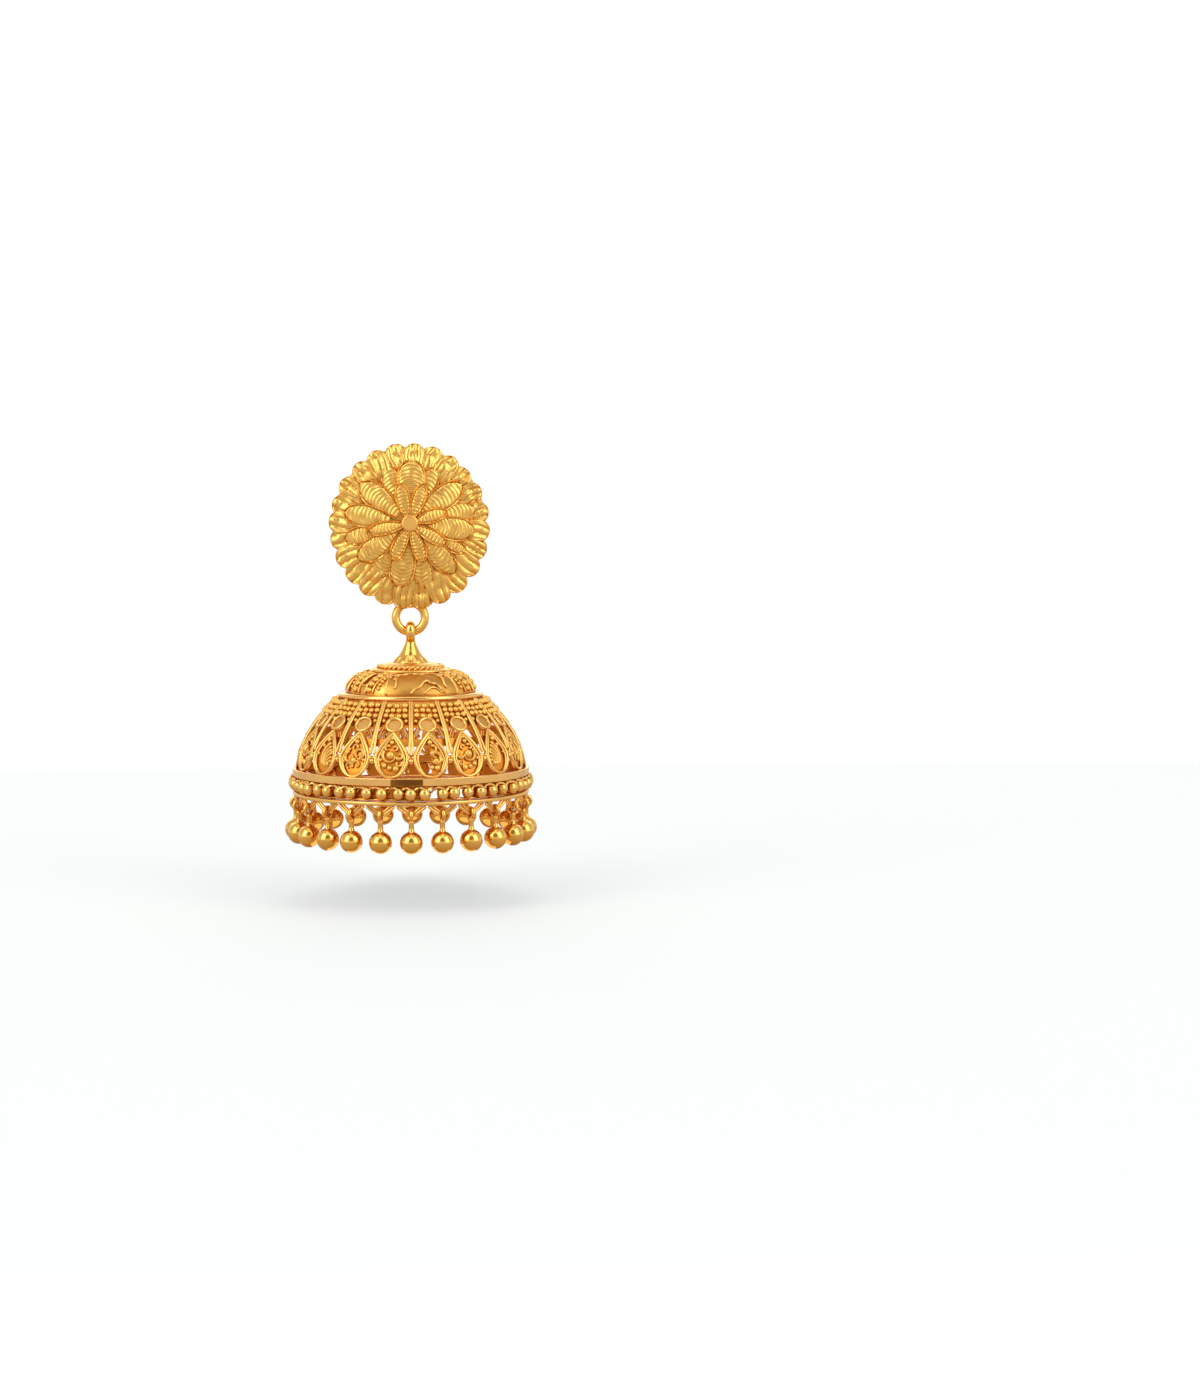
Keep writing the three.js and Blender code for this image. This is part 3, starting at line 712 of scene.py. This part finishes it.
def dome_wall():
    """Dome wall with its three slots left open."""
    rows, columns = 25, 360
    down = np.linspace(0, dome.length, rows)
    turn = circle(columns)
    grid_down, grid_turn = np.meshgrid(down, turn, indexing="ij")
    radius, height, outward, upward = dome.at(grid_down)
    layers = []
    for out in (0.0, -DOME_WALL):
        points = about(radius + outward * out, grid_turn, height + upward * out)
        layers.append(points.reshape(-1, 3))
    middle = dome.length / 2
    hole = np.zeros((rows - 1, columns), bool)
    for group in GROUP_ANGLES:
        for row in range(rows - 1):
            centre = (down[row] + down[row + 1]) / 2
            if abs(centre - middle) > SLOT_LENGTH / 2:
                continue
            here = dome.at(centre)[0]
            gap = (np.degrees(turn) + 0.5 * 360 / columns - group + 180) % 360 - 180
            hole[row] |= np.abs(np.radians(gap)) * here < SLOT_HALF_WIDTH
    count = rows * columns
    faces = []
    for row in range(rows - 1):
        for column in range(columns):
            if hole[row, column]:
                continue
            right = (column + 1) % columns
            a, b = row * columns + column, row * columns + right
            c, d = a + columns, b + columns
            faces.append([a, c, d, b])
            faces.append([count + a, count + b, count + d, count + c])
            sides = [
                (a, b, row == 0 or hole[row - 1, column]), (d, c, row == rows - 2 or hole[row + 1, column]),
                (c, a, hole[row, column - 1]), (b, d, hole[row, right]),
            ]
            faces += [[p, q, count + q, count + p] for p, q, is_open in sides if is_open]
    return np.vstack(layers), faces


def bar_side(side, down):
    """Middle line of a bar of beads, which splays towards the crown."""
    return side * (BAR_SPACING + BAR_SPLAY * (dome.length / 2 - down))


def dome_bars(beads, wires):
    """Bars of beads on both sides of each framed slot."""
    middle = dome.length / 2
    for group in GROUP_ANGLES:
        for side in (-1, 1):
            for step in range(6):
                down = middle + 0.1 + (step - 2.5) * BAR_PITCH
                size = BAR_BEAD * rng.uniform(0.92, 1.05)
                squeezed = (size, size, size * 0.85)
                beads.append(dome.bead(group, bar_side(side, down), down, 0.1, squeezed, 10, 14))
            down = np.linspace(middle - 1.75, middle + 1.85, 16)
            for edge in (-BAR_HALF_WIDTH, BAR_HALF_WIDTH):
                path = np.stack([bar_side(side, down) + edge, down], 1)
                wires.append(dome.wire(group, path, 0.1, 0.11))
            across = side * (BAR_SPACING + 0.85)
            for k in range(7):
                down = middle + k * SEED_PITCH - 1.0
                beads.append(dome.bead(group, across, down, 0.05, SEED_BEAD, 7, 10))
        frame_path = []
        for t in np.linspace(0, TAU, 41)[:-1]:
            frame_path.append((
                SLOT_HALF_WIDTH * 1.2 * math.copysign(abs(math.sin(t)) ** 0.5, math.sin(t)),
                middle - SLOT_LENGTH * 0.52 * math.copysign(abs(math.cos(t)) ** 0.5, math.cos(t)),
            ))
        wires.append(dome.wire(group, frame_path, 0.04, 0.09, closed=True))


def upper_dome():
    """Shallow dome with slots between bars of beads, and scrolls on its raised panels."""
    panels, recesses, beads, wires = [], [], [], []
    dome_bars(beads, wires)
    foot = dome.length - 0.1
    for angle in PANEL_ANGLES:
        def scroll(across, down, lift, thick):
            wires.append(dome.wire(angle, np.stack([across, down], 1), lift, thick))

        share = np.linspace(-1, 1, 61)
        top = 1.5 + 0.16 * np.cos(1.5 * TAU * share) - 0.2 * (1 - np.abs(share)) ** 2
        rows = np.linspace(0, 1, 14)[:, None]
        down = top[None] + (foot - top[None]) * rows
        angles = angle + share[None] * PANEL_HALF_ANGLE + 0 * rows
        hollow = 0.2 - 0.13 * np.sin(math.pi * rows) * (1 - share[None] ** 2)
        panels.append(dome.sheet(angles, down, hollow, hollow - 0.16))
        rows = np.linspace(0, 1, 8)[:, None]
        # Thin sheet laid just over the dome wall between the crown and the panels, in the darker lining
        # gold: painted shade
        recesses.append(dome.sheet(angles[:8], 0.08 + (top[None] - 0.08) * rows, 0.03, -0.05))
        edge = dome.polar(angle + share * PANEL_HALF_ANGLE, top, 0.22)
        wires.append(tube(edge[0], 0.1, 8, up=edge[1]))
        for side in (-1, 1):
            line = dome.polar(angle + side * PANEL_HALF_ANGLE, np.linspace(top[0], foot, 12), 0.18)
            wires.append(tube(line[0], 0.1, 8, up=line[1]))
        arch = np.linspace(-1, 1, 41)
        down = foot - 0.12 - 1.2 * (1 - np.abs(arch) ** 1.2) + 0.1 * np.sin(3 * math.pi * arch)
        scroll(0.55 + 1.7 * arch, down, 0.2, 0.125)
        arch = np.linspace(-1, 1, 30)
        scroll(1.0 + 0.85 * arch, foot - 0.14 - 0.5 * (1 - arch**2), 0.18, 0.12)
        for side in (-1, 1):
            reach = 1.9 if side > 0 else 2.2
            stem = np.linspace(0, 1, 30)
            down = 1.9 + 1.5 * stem - 0.2 * np.sin(TAU * stem)
            scroll(side * (reach + 0.55 * stem), down, 0.22, 0.18 - 0.08 * stem)
            curl = np.linspace(0.1, 1.5 * math.pi, 26)
            size = 0.42 * (1 - curl / 9)
            scroll(side * (reach + 0.4 + size * np.cos(curl) * 0.8), 2.2 - size * np.sin(curl), 0.22, 0.13)
    drop_piece("dome_wall", [dome_wall()], "frosted_gold", ["upper_dome"], "frosted_gold")
    # Panels in the darker panel gold: painted shade
    drop_piece("dome_panels", panels, "panel_shade_gold", slot="frosted_gold")
    drop_piece("dome_shade_sheet", recesses, "lining_shade_gold", slot="frosted_gold")
    drop_piece("dome_beads", beads, "grain_gold")
    drop_piece("dome_scrolls", wires, "wire_gold")


BAND_DEPTH = 0.7
# Dark plate on the front of the band, facing the camera: a painted dark reflection
DARK_REFLECTION_ANGLE = -2.1
DARK_REFLECTION_HALF_ANGLE = 7.5
DARK_REFLECTION_HALF_HEIGHT = 0.29


def hoops():
    """Polished hoop at the waist, and the flat band at the mouth with a dark plate on its front that paints
    its dark reflection.
    """
    hoop = flat_ring(HOOP_RADIUS, HOOP_DEPTH, hoop_low[2], hoop_high[2], 0.27, 192, 0.02)
    drop_piece("waist_hoop", [hoop], "band_gold", ["hoop"])
    points, faces = flat_ring(BAND_RADIUS, BAND_DEPTH, band_low[2], band_high[2], 0.07, BAND_FACETS)
    turn = np.arctan2(points[:, 0], -points[:, 1])
    uneven = turn + 0.035 * np.sin(5 * turn + 0.6) + 0.02 * np.sin(11 * turn)
    points = about(np.hypot(points[:, 0], points[:, 1]), uneven, points[:, 2])
    drop_piece("flat_band", [(points, faces)], "band_gold", ["band"], crease=6)
    middle = (band_low[2] + band_high[2]) / 2
    turns = math.radians(DARK_REFLECTION_ANGLE) + np.linspace(-1, 1, 25) * math.radians(DARK_REFLECTION_HALF_ANGLE)
    top, foot = middle + DARK_REFLECTION_HALF_HEIGHT, middle - DARK_REFLECTION_HALF_HEIGHT
    # Painted dark reflection on the band's front
    joint = curved_plate(turns, [
        (BAND_RADIUS + 0.01, top), (BAND_RADIUS + 0.11, foot),
        (BAND_RADIUS - 0.3, foot), (BAND_RADIUS - 0.3, top),
    ])
    drop_piece("band_painted_reflection", [joint], "band_reflection_gold", crease=30)


skirt = Bell(SKIRT_TOP_RADIUS, skirt_high[2], SKIRT_MOUTH_RADIUS, skirt_low[2] + 0.02, SKIRT_SHOULDER)
DISC_DOWN = FIELD_LENGTH + DISC_RADIUS - SOLDER_LAP
TEAR_TOP = DISC_DOWN + DISC_RADIUS - 2 * SOLDER_LAP
TEAR_MIDDLE = (TEAR_TOP + skirt.length) / 2
TEAR_HALF_LENGTH = (skirt.length - TEAR_TOP) / 2
TEAR_HALF_WIDTH = skirt.at(TEAR_MIDDLE)[0] * math.pi / PANELS - RIB_WIDTH / 2 + SOLDER_LAP
TEAR_WIDEST = 0.57
TEAR_WIDE_DOWN = TEAR_TOP + 2 * TEAR_HALF_LENGTH * TEAR_WIDEST


def tear_path(inset, steps=72):
    """Flat outline of a teardrop with a sharp tip, drawn in from its edge."""
    turn = circle(steps)
    rise = np.cos(turn)
    flank = np.where(rise > 0, 1 - np.abs(rise) ** 1.35, np.sqrt(np.maximum(1 - rise**2, 0)))
    half_length = TEAR_HALF_LENGTH - 0.55 * inset
    reach = np.where(rise > 0, TEAR_WIDEST, 1 - TEAR_WIDEST)
    across = (TEAR_HALF_WIDTH - inset) * np.sign(np.sin(turn)) * flank
    down = TEAR_MIDDLE + 0.5 * inset - half_length * (1 - 2 * TEAR_WIDEST + 2 * reach * rise)
    return np.stack([across, down], axis=1)


def arc(across, down, wide, tall, start, end, steps=24):
    """Flat arc of an ellipse, angles in degrees."""
    turn = np.radians(np.linspace(start, end, steps))
    return np.stack([across + wide * np.cos(turn), down + tall * np.sin(turn)], axis=1)


def comma(across, down, size, start, sweep, thick):
    """Tapered curl with a thick head: its flat path and wire sizes; angles in degrees."""
    t = np.linspace(0, 1, 22)
    turn = np.radians(start + sweep * t)
    reach = size * (1 - 0.5 * t)
    path = np.stack([across + reach * np.cos(turn), down + reach * np.sin(turn)], axis=1)
    return path, thick * (1 - 0.5 * t)


# Filigree of a teardrop, about its widest place: beads (across, down, size), and curls (across, down,
# size, start angle, sweep, wire size), in the order in which they are soldered
FILIGREE = [
    [
        (0.1, -0.15, 0.46), (0.1, -0.1, 0.8, -30, 210, 0.2), (-0.8, -0.1, 0.34, 40, 250, 0.19),
        (-0.72, 0.62, 0.34, 190, -220, 0.19), (0.42, -0.85, 0.3, -120, 220, 0.16),
        (-0.35, -0.8, 0.26, -60, -220, 0.15), (-0.45, 1.15, 0.32), (0.15, 1.08, 0.27), (0.65, 0.85, 0.27),
        (1.05, 0.3, 0.2), (1.0, -0.3, 0.17),
    ],
    [
        (-0.42, -0.25, 0.56, 120, 300, 0.21), (0.55, 0.1, 0.56, -60, 300, 0.21),
        (-0.3, 0.85, 0.46, 20, -260, 0.19), (0.5, 1.0, 0.38, 200, 240, 0.17),
        (0.1, -0.9, 0.3, 180, 220, 0.15), (0.72, -0.65, 0.2), (-1.02, 0.35, 0.22), (0.05, 0.42, 0.3),
        (1.15, 0.55, 0.18), (-0.85, -0.75, 0.17),
    ],
    [
        *[(-1.0, 1.2, 0.55 + 0.36 * k, -94 + 4 * k, 88 - 5 * k, 0.17) for k in range(6)],
        (-0.7, 0.95, 0.28), (0.5, -0.85, 0.2), (1.1, 0.0, 0.19), (-0.95, -0.2, 0.2), (0.15, -0.6, 0.2),
    ],
    [
        (0.45, 0.25, 0.7, -110, 250, 0.21), (0.55, -0.1, 0.44, 30, -280, 0.19),
        (0.3, -0.75, 0.36, -100, 200, 0.17), (0.15, -0.35, 0.28), (1.02, 0.35, 0.24), (0.52, 0.42, 0.32),
        (0.1, 1.05, 0.26), (0.6, 1.1, 0.3),
    ],
]
# The kind with a plate behind one half only
HALF_PLATE = 3


def filigree(angle, kind, hand):
    """Wires and beads that fill one teardrop."""
    wires, beads = [], []
    centre = TEAR_WIDE_DOWN

    def curl(across, down, size, start, sweep, thick):
        path, sizes = comma(across, centre + down, size, start, sweep, thick)
        wires.append(skirt.wire(angle, path * [hand, 1], rng.uniform(-0.02, 0.05), sizes))

    def dot(across, down, size):
        lift = rng.uniform(-0.06, 0.02)
        size = size * rng.uniform(0.9, 1.08)
        beads.append(skirt.bead(angle, hand * across, centre + down, lift, size, 8, 12))

    dot(0, TEAR_TOP + 0.74 - centre, 0.18)
    dot(0.03, TEAR_TOP + 1.18 - centre, 0.27)
    for row in FILIGREE[kind]:
        solder = dot if len(row) == 3 else curl
        solder(*row)
    return wires, beads


def tear_plate(angle, start, end):
    """Recessed sheet behind part of a teardrop, between two shares of its half width."""
    path = tear_path(0.15, 64)[2:31]
    share = np.linspace(start, end, 9)
    across = path[:, :1] * share[None]
    down = np.repeat(path[:, 1:], 9, 1)
    radius = skirt.at(down)[0]
    return skirt.sheet(angle + np.degrees(across / radius), down, -0.12, -0.26)


def disc(angle):
    """Flat round disc in the collar above a teardrop."""
    rings, sides = 6, 28
    spread = np.linspace(0, 1, rings + 1)[1:, None] * (DISC_RADIUS - 0.12)
    turn = circle(sides)
    across, down = (spread * np.cos(turn)).ravel(), (spread * np.sin(turn)).ravel() + DISC_DOWN
    front, _ = skirt.lay(angle, across, down, 0.08)
    back, _ = skirt.lay(angle, across[-sides:], down[-sides:], -0.22)
    hub, _ = skirt.lay(angle, [0.0], [DISC_DOWN], 0.08)
    outer, under = (rings - 1) * sides, rings * sides
    faces = [face[::-1] for face in quads(rings, sides, wrap_columns=True)]
    for k in range(sides):
        n = (k + 1) % sides
        faces.append([under + sides, n, k])
        faces.append([outer + k, outer + n, under + n, under + k])
    faces.append([under + k for k in reversed(range(sides))])
    return np.vstack([front, back, hub]), faces


# Kind of filigree in each panel, from the front round to the right
KINDS = [3, 0, 2, 1, 2, 0, 1, 3, 2, 1, 0, 2, 3, 1, 0, 2, 1, 0]
BACK_PANELS = range(6, 12)
# Rows of seed beads in a panel: distance down, count and size
GRAIN_ROWS = [(0.55, 3, 0.34), (1.18, 4, 0.3), (1.8, 4, 0.3)]


def skirt_work():
    """Pierced bell: beaded strip, ribs, discs, teardrops and their filigree."""
    strip = skirt.wall(0.0, FIELD_LENGTH, SKIRT_WALL - 0.08, 16, 180)
    recess = []
    for start, end, steps, front in ((FIELD_LENGTH, LINING_LENGTH, 6, -0.18), (*GIRDLE, 5, -0.3)):
        angles, down = np.meshgrid(np.linspace(0, 360, 181), np.linspace(start, end, steps))
        recess.append(skirt.sheet(angles, down, front, front - 0.12))
    grains, ribs, collars, discs, tears, work = [], [], [], [], [], []
    for i, kind in enumerate(KINDS):
        rib_angle = 360 * i / PANELS
        angle = rib_angle + 180 / PANELS
        hand = 1 if i < PANELS / 2 else -1
        for row_down, count, row_size in GRAIN_ROWS:
            half = skirt.at(row_down)[0] * math.pi / PANELS - RIB_WIDTH / 2 - 0.02
            for k in range(count):
                across = (2 * (k + 0.5) / count - 1) * half + rng.uniform(-0.04, 0.04)
                down = row_down + rng.uniform(-0.06, 0.06)
                size = row_size * rng.uniform(0.9, 1.05)
                grains.append(skirt.bead(angle, across, down, size * 0.45, size, 8, 12))
        for side in (-1, 1):
            grains.append(skirt.bead(angle, side * 1.08, DISC_DOWN - 0.5, 0.0, 0.22, 7, 10))
            down = np.linspace(0.05, FIELD_LENGTH + RIB_LENGTH + 0.1, 30)
            part = 0.1 + 0.06 * np.clip(down - 4.4, 0, 2)
            path = np.stack([side * part, down], axis=1)
            ribs.append(skirt.wire(rib_angle, path, 0.16, 0.14, 10))
            knot = math.degrees(side * 0.2 / skirt.at(TEAR_WIDE_DOWN)[0])
            ribs.append(skirt.bead(rib_angle + knot, 0, TEAR_WIDE_DOWN + 0.1, 0.04, 0.2, 8, 12))
        ribs.append(skirt.bead(rib_angle, 0, TEAR_WIDE_DOWN + 0.42, 0.06, 0.25, 8, 12))
        collar = arc(0, DISC_DOWN, DISC_RADIUS - 0.1, DISC_RADIUS - 0.1, 0, 360 - 360 / 40, 40)
        collars.append(skirt.wire(angle, collar, 0.12, 0.16, 10, closed=True))
        discs.append(disc(angle))
        for inset, lift, thick in ((0.14, 0.05, 0.165), (0.43, 0.0, 0.12)):
            tears.append(skirt.wire(angle, tear_path(inset), lift, thick, 10, closed=True))
        reach = 0.5 if i in BACK_PANELS else 1
        start = 0.05 if kind == HALF_PLATE and hand > 0 else -reach
        end = -0.05 if kind == HALF_PLATE and hand < 0 else reach
        recess.append(tear_plate(angle, start, end))
        for shapes in filigree(angle, kind, hand):
            work += shapes
    drop_piece("skirt_strip", [strip], "frosted_gold", ["skirt"], "frosted_gold")
    # Sheets behind and inside the skirt in the darker lining gold: painted shade
    drop_piece("skirt_lining", recess, "lining_shade_gold", slot="frosted_gold")
    drop_piece("skirt_grains", grains, "grain_gold", slot="frosted_gold")
    drop_piece("skirt_ribs", ribs, "wire_gold", slot="frosted_gold")
    drop_piece("skirt_collars", collars, "wire_gold", slot="frosted_gold")
    # Discs in the darker disc gold: painted shade
    drop_piece("skirt_discs", discs, "disc_shade_gold", slot="frosted_gold")
    drop_piece("skirt_tears", tears, "wire_gold", slot="frosted_gold")
    drop_piece("skirt_filigree", work, "grain_gold", slot="frosted_gold")


BELT_HALF_HEIGHT = 0.6
BELT_BEAD_RADIUS = 0.61
BACK_BEADS = range(13, 38)


def belt():
    """Round beads before a pierced inner ring, with thin curled wires between them."""
    middle = (belt_low[2] + belt_high[2]) / 2
    radius = BELT_RADIUS - 0.62
    beads, wires, plates = [], [], []
    for i in range(BELT_BEADS):
        turn = TAU * (i + rng.uniform(-0.16, 0.16)) / BELT_BEADS
        centre = (radius * math.sin(turn), -radius * math.cos(turn), middle + rng.uniform(-0.05, 0.05))
        size = BELT_BEAD_RADIUS * rng.uniform(0.94, 1.03)
        beads.append(ball(centre, (size, size, size * 1.06), 16, 22))
        for side, tall in ((-1, 0.9), (1, 1)):
            t = np.linspace(-0.1, 0.75, 12)
            between = turn + side * TAU * t / BELT_BEADS
            reach = radius + 0.05 + 0.34 * np.cos(math.pi * t)
            bow = middle - side * (0.25 - 0.5 * t) + 0.62 * np.sin(math.pi * (t + 0.1)) * tall
            bow = np.clip(bow, middle - BELT_HALF_HEIGHT, middle + 0.62)
            wires.append(tube(about(reach, between, bow), 0.11, 7))
        if i not in BELT_GAPS and not (i in BACK_BEADS and i % 3):
            turns = TAU * (i + np.linspace(-0.15, 1.15, 8)) / BELT_BEADS
            plates.append(curved_plate(turns, [
                (radius - 0.5, middle - 0.56), (radius - 0.66, middle - 0.56),
                (radius - 0.66, middle + 0.56), (radius - 0.5, middle + 0.56),
            ]))
    for height in (middle + BELT_HALF_HEIGHT, middle - BELT_HALF_HEIGHT):
        wires.append(ring_wire(radius - 0.3, height, 0.13, 180, 8))
    drop_piece("belt_beads", beads, "wire_gold", ["bead_belt"])
    drop_piece("belt_wires", wires, "wire_gold")
    # Ring behind the beads in the darker lining gold: painted shade
    drop_piece("belt_ring", plates, "lining_shade_gold")


BEND = ball_low[2] + BALL_FOOT + BALL_REACH
LOOP_TOP = BEND + LOOP_REACH
RIM_DEPTH = 0.6


def rim():
    """Thin rim with one loop of doubled wire for each ball soldered under it."""
    shapes = [flat_ring(RIM_RADIUS, RIM_DEPTH, LOOP_TOP, rim_high[2], 0.14, 240)]
    for i in range(DROPS):
        share = np.abs(np.linspace(-1, 1, 27))
        across = np.linspace(-1, 1, 27) * (LOOP_HALF_WIDTH + 0.1)
        for strand in (-1, 1):
            height = BEND + strand * (0.11 + 0.06 * share) + (LOOP_REACH + 0.02) * share**1.2
            height = np.minimum(height, LOOP_TOP + 0.1)
            path = np.stack([across * (1 - 0.04 * strand), -FRINGE_RADIUS + 0 * across, height], axis=1)
            shapes.append(spun(tube(path, LOOP_WIRE * 0.58, 12, up=(0, -1, 0)), TAU * i / DROPS))
    drop_piece("rim_loops", shapes, "wire_gold", ["rim"])


def ball_drops():
    """Polished balls, each with a stem and the eye that hangs on its loop."""
    eye_wire, eye_clearance = 0.19, 0.03
    eye_radius = LOOP_WIRE + eye_clearance + eye_wire
    eye_points, eye_faces = eye_ring(eye_radius, eye_wire, 0, 36, 12)
    neck = -BALL_REACH + BALL_RADIUS
    profile = [
        (BALL_RADIUS * math.sin(t), -BALL_REACH - BALL_RADIUS * math.cos(t))
        for t in np.linspace(0, math.pi - 0.3, 44)
    ]
    profile += [(0.3, neck + 0.02), (0.27, neck + 0.1), (0.25, neck + 0.3)]
    profile += [(0.255, -eye_radius - 0.3), (0.29, -eye_radius - 0.12), (0.22, -eye_radius + 0.02)]
    ball_points, ball_faces = turned([*profile, (0, -eye_radius + 0.04)], 48)
    upright = np.vstack([eye_points, ball_points])
    faces = eye_faces + [[len(eye_points) + k for k in face] for face in ball_faces]
    for i in range(DROPS):
        lean = math.radians(rng.normal(0, 1.2))
        c, s = math.cos(lean), math.sin(lean)
        points = upright @ np.array([[c, 0, s], [0, 1, 0], [-s, 0, c]])
        drop = spun((points + [0, -FRINGE_RADIUS, BEND], faces), TAU * i / DROPS)
        node = f"ball_drop_{i + 1:02d}"
        drop_piece(f"ball_{i + 1:02d}", [drop], "polished_gold", [node], crease=60)


# Stage

FLOOR_DROP = 6.0
FLOOR_REACH = 125.0
PAPER = (0.57, 0.51, 0.47, 1)
PAPER_GLOW = (0.27, 0.395, 0.46, 1)
DIM_PATCH = (0, -0.85, 0.53)
ROOM_LIGHT = (0.7, 0.65, 0.57, 1)
ROOM_DIM = (0.34, 0.26, 0.18, 1)
HORIZON_LIGHT = (0.9, 0.85, 0.77, 1)
UNDER_LIGHT = 1.1
CAMERA_DISTANCE = 260.0
CAMERA_RISE = 4.3
# Millimetres per pixel of the 1200 x 1376 picture, its height and centre, and the part's origin in it
PIXEL = 0.1
FRAME_HEIGHT = 1376
FRAME_CENTRE = (600, 688)
ORIGIN_PIXEL = (409.7, 522.9)


def softbox(name, place, size, radiance, aim=(0, 0, -18)):
    """Rectangular lamp turned to a point."""
    data = bpy.data.lights.new(name, "AREA")
    data.shape = "RECTANGLE"
    data.size, data.size_y = size[0] * MM, size[1] * MM
    data.energy = radiance * math.pi * data.size * data.size_y
    lamp = bpy.data.objects.new(name, data)
    lamp.location = Vector(place) * MM
    lamp.rotation_euler = (Vector(aim) * MM - lamp.location).to_track_quat("-Z", "Y").to_euler()
    bpy.context.scene.collection.objects.link(lamp)


def studio():
    """Softboxes left, right, above, behind and below, in a pale room with a dim patch over the camera."""
    softbox("key_left", (-720, -560, 560), (800, 1200), 1.3)
    softbox("key_left_core", (-620, -500, 500), (300, 340), 2.5)
    softbox("key_right", (720, -560, 540), (800, 1200), 1.15)
    softbox("key_right_core", (620, -500, 470), (280, 320), 2.2)
    softbox("top", (0, 60, 900), (420, 1500), 0.6)
    softbox("back", (0, 700, 300), (900, 500), 0.9)
    softbox("under", (0, AXIS[1], ball_low[2] - FLOOR_DROP + 0.5), (17, 17), UNDER_LIGHT)
    world = bpy.data.worlds.new("studio")
    bpy.context.scene.world = world
    world.use_nodes = True
    tree = world.node_tree
    tree.nodes.clear()
    output = new_node(tree, "ShaderNodeOutputWorld")
    shown = new_node(tree, "ShaderNodeMixShader")
    seen = new_node(tree, "ShaderNodeBackground", {"Color": (1, 1, 1, 1), "Strength": 1.05})
    room = new_node(tree, "ShaderNodeBackground")
    path = new_node(tree, "ShaderNodeLightPath")
    where = new_node(tree, "ShaderNodeTexCoord")
    part = new_node(tree, "ShaderNodeSeparateXYZ")
    level = new_node(tree, "ShaderNodeMath", operation="ABSOLUTE")
    heights = new_node(tree, "ShaderNodeValToRGB")
    stops = heights.color_ramp.elements
    for stop, position, colour in ((stops[0], 0.1, HORIZON_LIGHT), (stops[1], 0.45, ROOM_LIGHT)):
        stop.position, stop.color = position, colour
    patch = new_node(tree, "ShaderNodeVectorMath", {1: DIM_PATCH}, operation="DOT_PRODUCT")
    spread = new_node(tree, "ShaderNodeMapRange", {"From Min": 0.9, "From Max": 0.975})
    dimmed = new_node(tree, "ShaderNodeMix", {"B": ROOM_DIM}, data_type="RGBA")
    link(
        tree, (where, "Generated", part, "Vector"), (part, "Z", level, 0), (level, "Value", heights, "Fac"),
        (where, "Generated", patch, 0), (patch, "Value", spread, "Value"),
        (spread, "Result", dimmed, "Factor"), (heights, "Color", dimmed, "A"),
        (dimmed, "Result", room, "Color"), (path, "Is Camera Ray", shown, "Fac"),
        (room, "Background", shown, 1), (seen, "Background", shown, 2), (shown, "Shader", output, "Surface"),
    )


def stage():
    """Pale floor and the camera."""
    floor_height = ball_low[2] - FLOOR_DROP
    mesh = bpy.data.meshes.new("floor")
    corners = [(-1, -1), (1, -1), (1, 1), (-1, 1)]
    points = [(x * FLOOR_REACH * MM, y * FLOOR_REACH * MM, floor_height * MM) for x, y in corners]
    mesh.from_pydata(points, [], [(0, 1, 2, 3)])
    floor = bpy.data.objects.new("floor", mesh)
    bpy.context.scene.collection.objects.link(floor)
    paper = bpy.data.materials.new("pale_paper")
    paper.use_nodes = True
    shader = paper.node_tree.nodes["Principled BSDF"]
    shader.inputs["Base Color"].default_value = PAPER
    shader.inputs["Roughness"].default_value = 0.9
    shader.inputs["Specular IOR Level"].default_value = 0.1
    shader.inputs["Emission Color"].default_value = PAPER_GLOW
    path = paper.node_tree.nodes.new("ShaderNodeLightPath")
    paper.node_tree.links.new(path.outputs["Is Camera Ray"], shader.inputs["Emission Strength"])
    mesh.materials.append(paper)

    rise = math.radians(CAMERA_RISE)
    across = (FRAME_CENTRE[0] - ORIGIN_PIXEL[0]) * PIXEL
    yaw = math.atan2(across, CAMERA_DISTANCE)
    middle = Vector((0, AXIS[1], (ORIGIN_PIXEL[1] - FRAME_CENTRE[1]) * PIXEL))
    back = Vector((0, -math.cos(rise), math.sin(rise)))
    view = Vector((math.sin(yaw) * math.cos(rise), math.cos(yaw) * math.cos(rise), -math.sin(rise)))
    data = bpy.data.cameras.new("camera")
    camera = bpy.data.objects.new("camera", data)
    bpy.context.scene.collection.objects.link(camera)
    camera.location = (middle + back * CAMERA_DISTANCE) * MM
    camera.rotation_mode = "QUATERNION"
    camera.rotation_quaternion = view.to_track_quat("-Z", "Y")
    data.lens = data.sensor_width * CAMERA_DISTANCE * math.cos(yaw) / (FRAME_HEIGHT * PIXEL)
    data.clip_start, data.clip_end = 0.01, 20.0
    bpy.context.scene.camera = camera
    bpy.context.scene.view_settings.view_transform = "Standard"


flower()
ear_post()
hanging_ring()
finial()
crown()
upper_dome()
hoops()
skirt_work()
belt()
rim()
ball_drops()
studio()
stage()
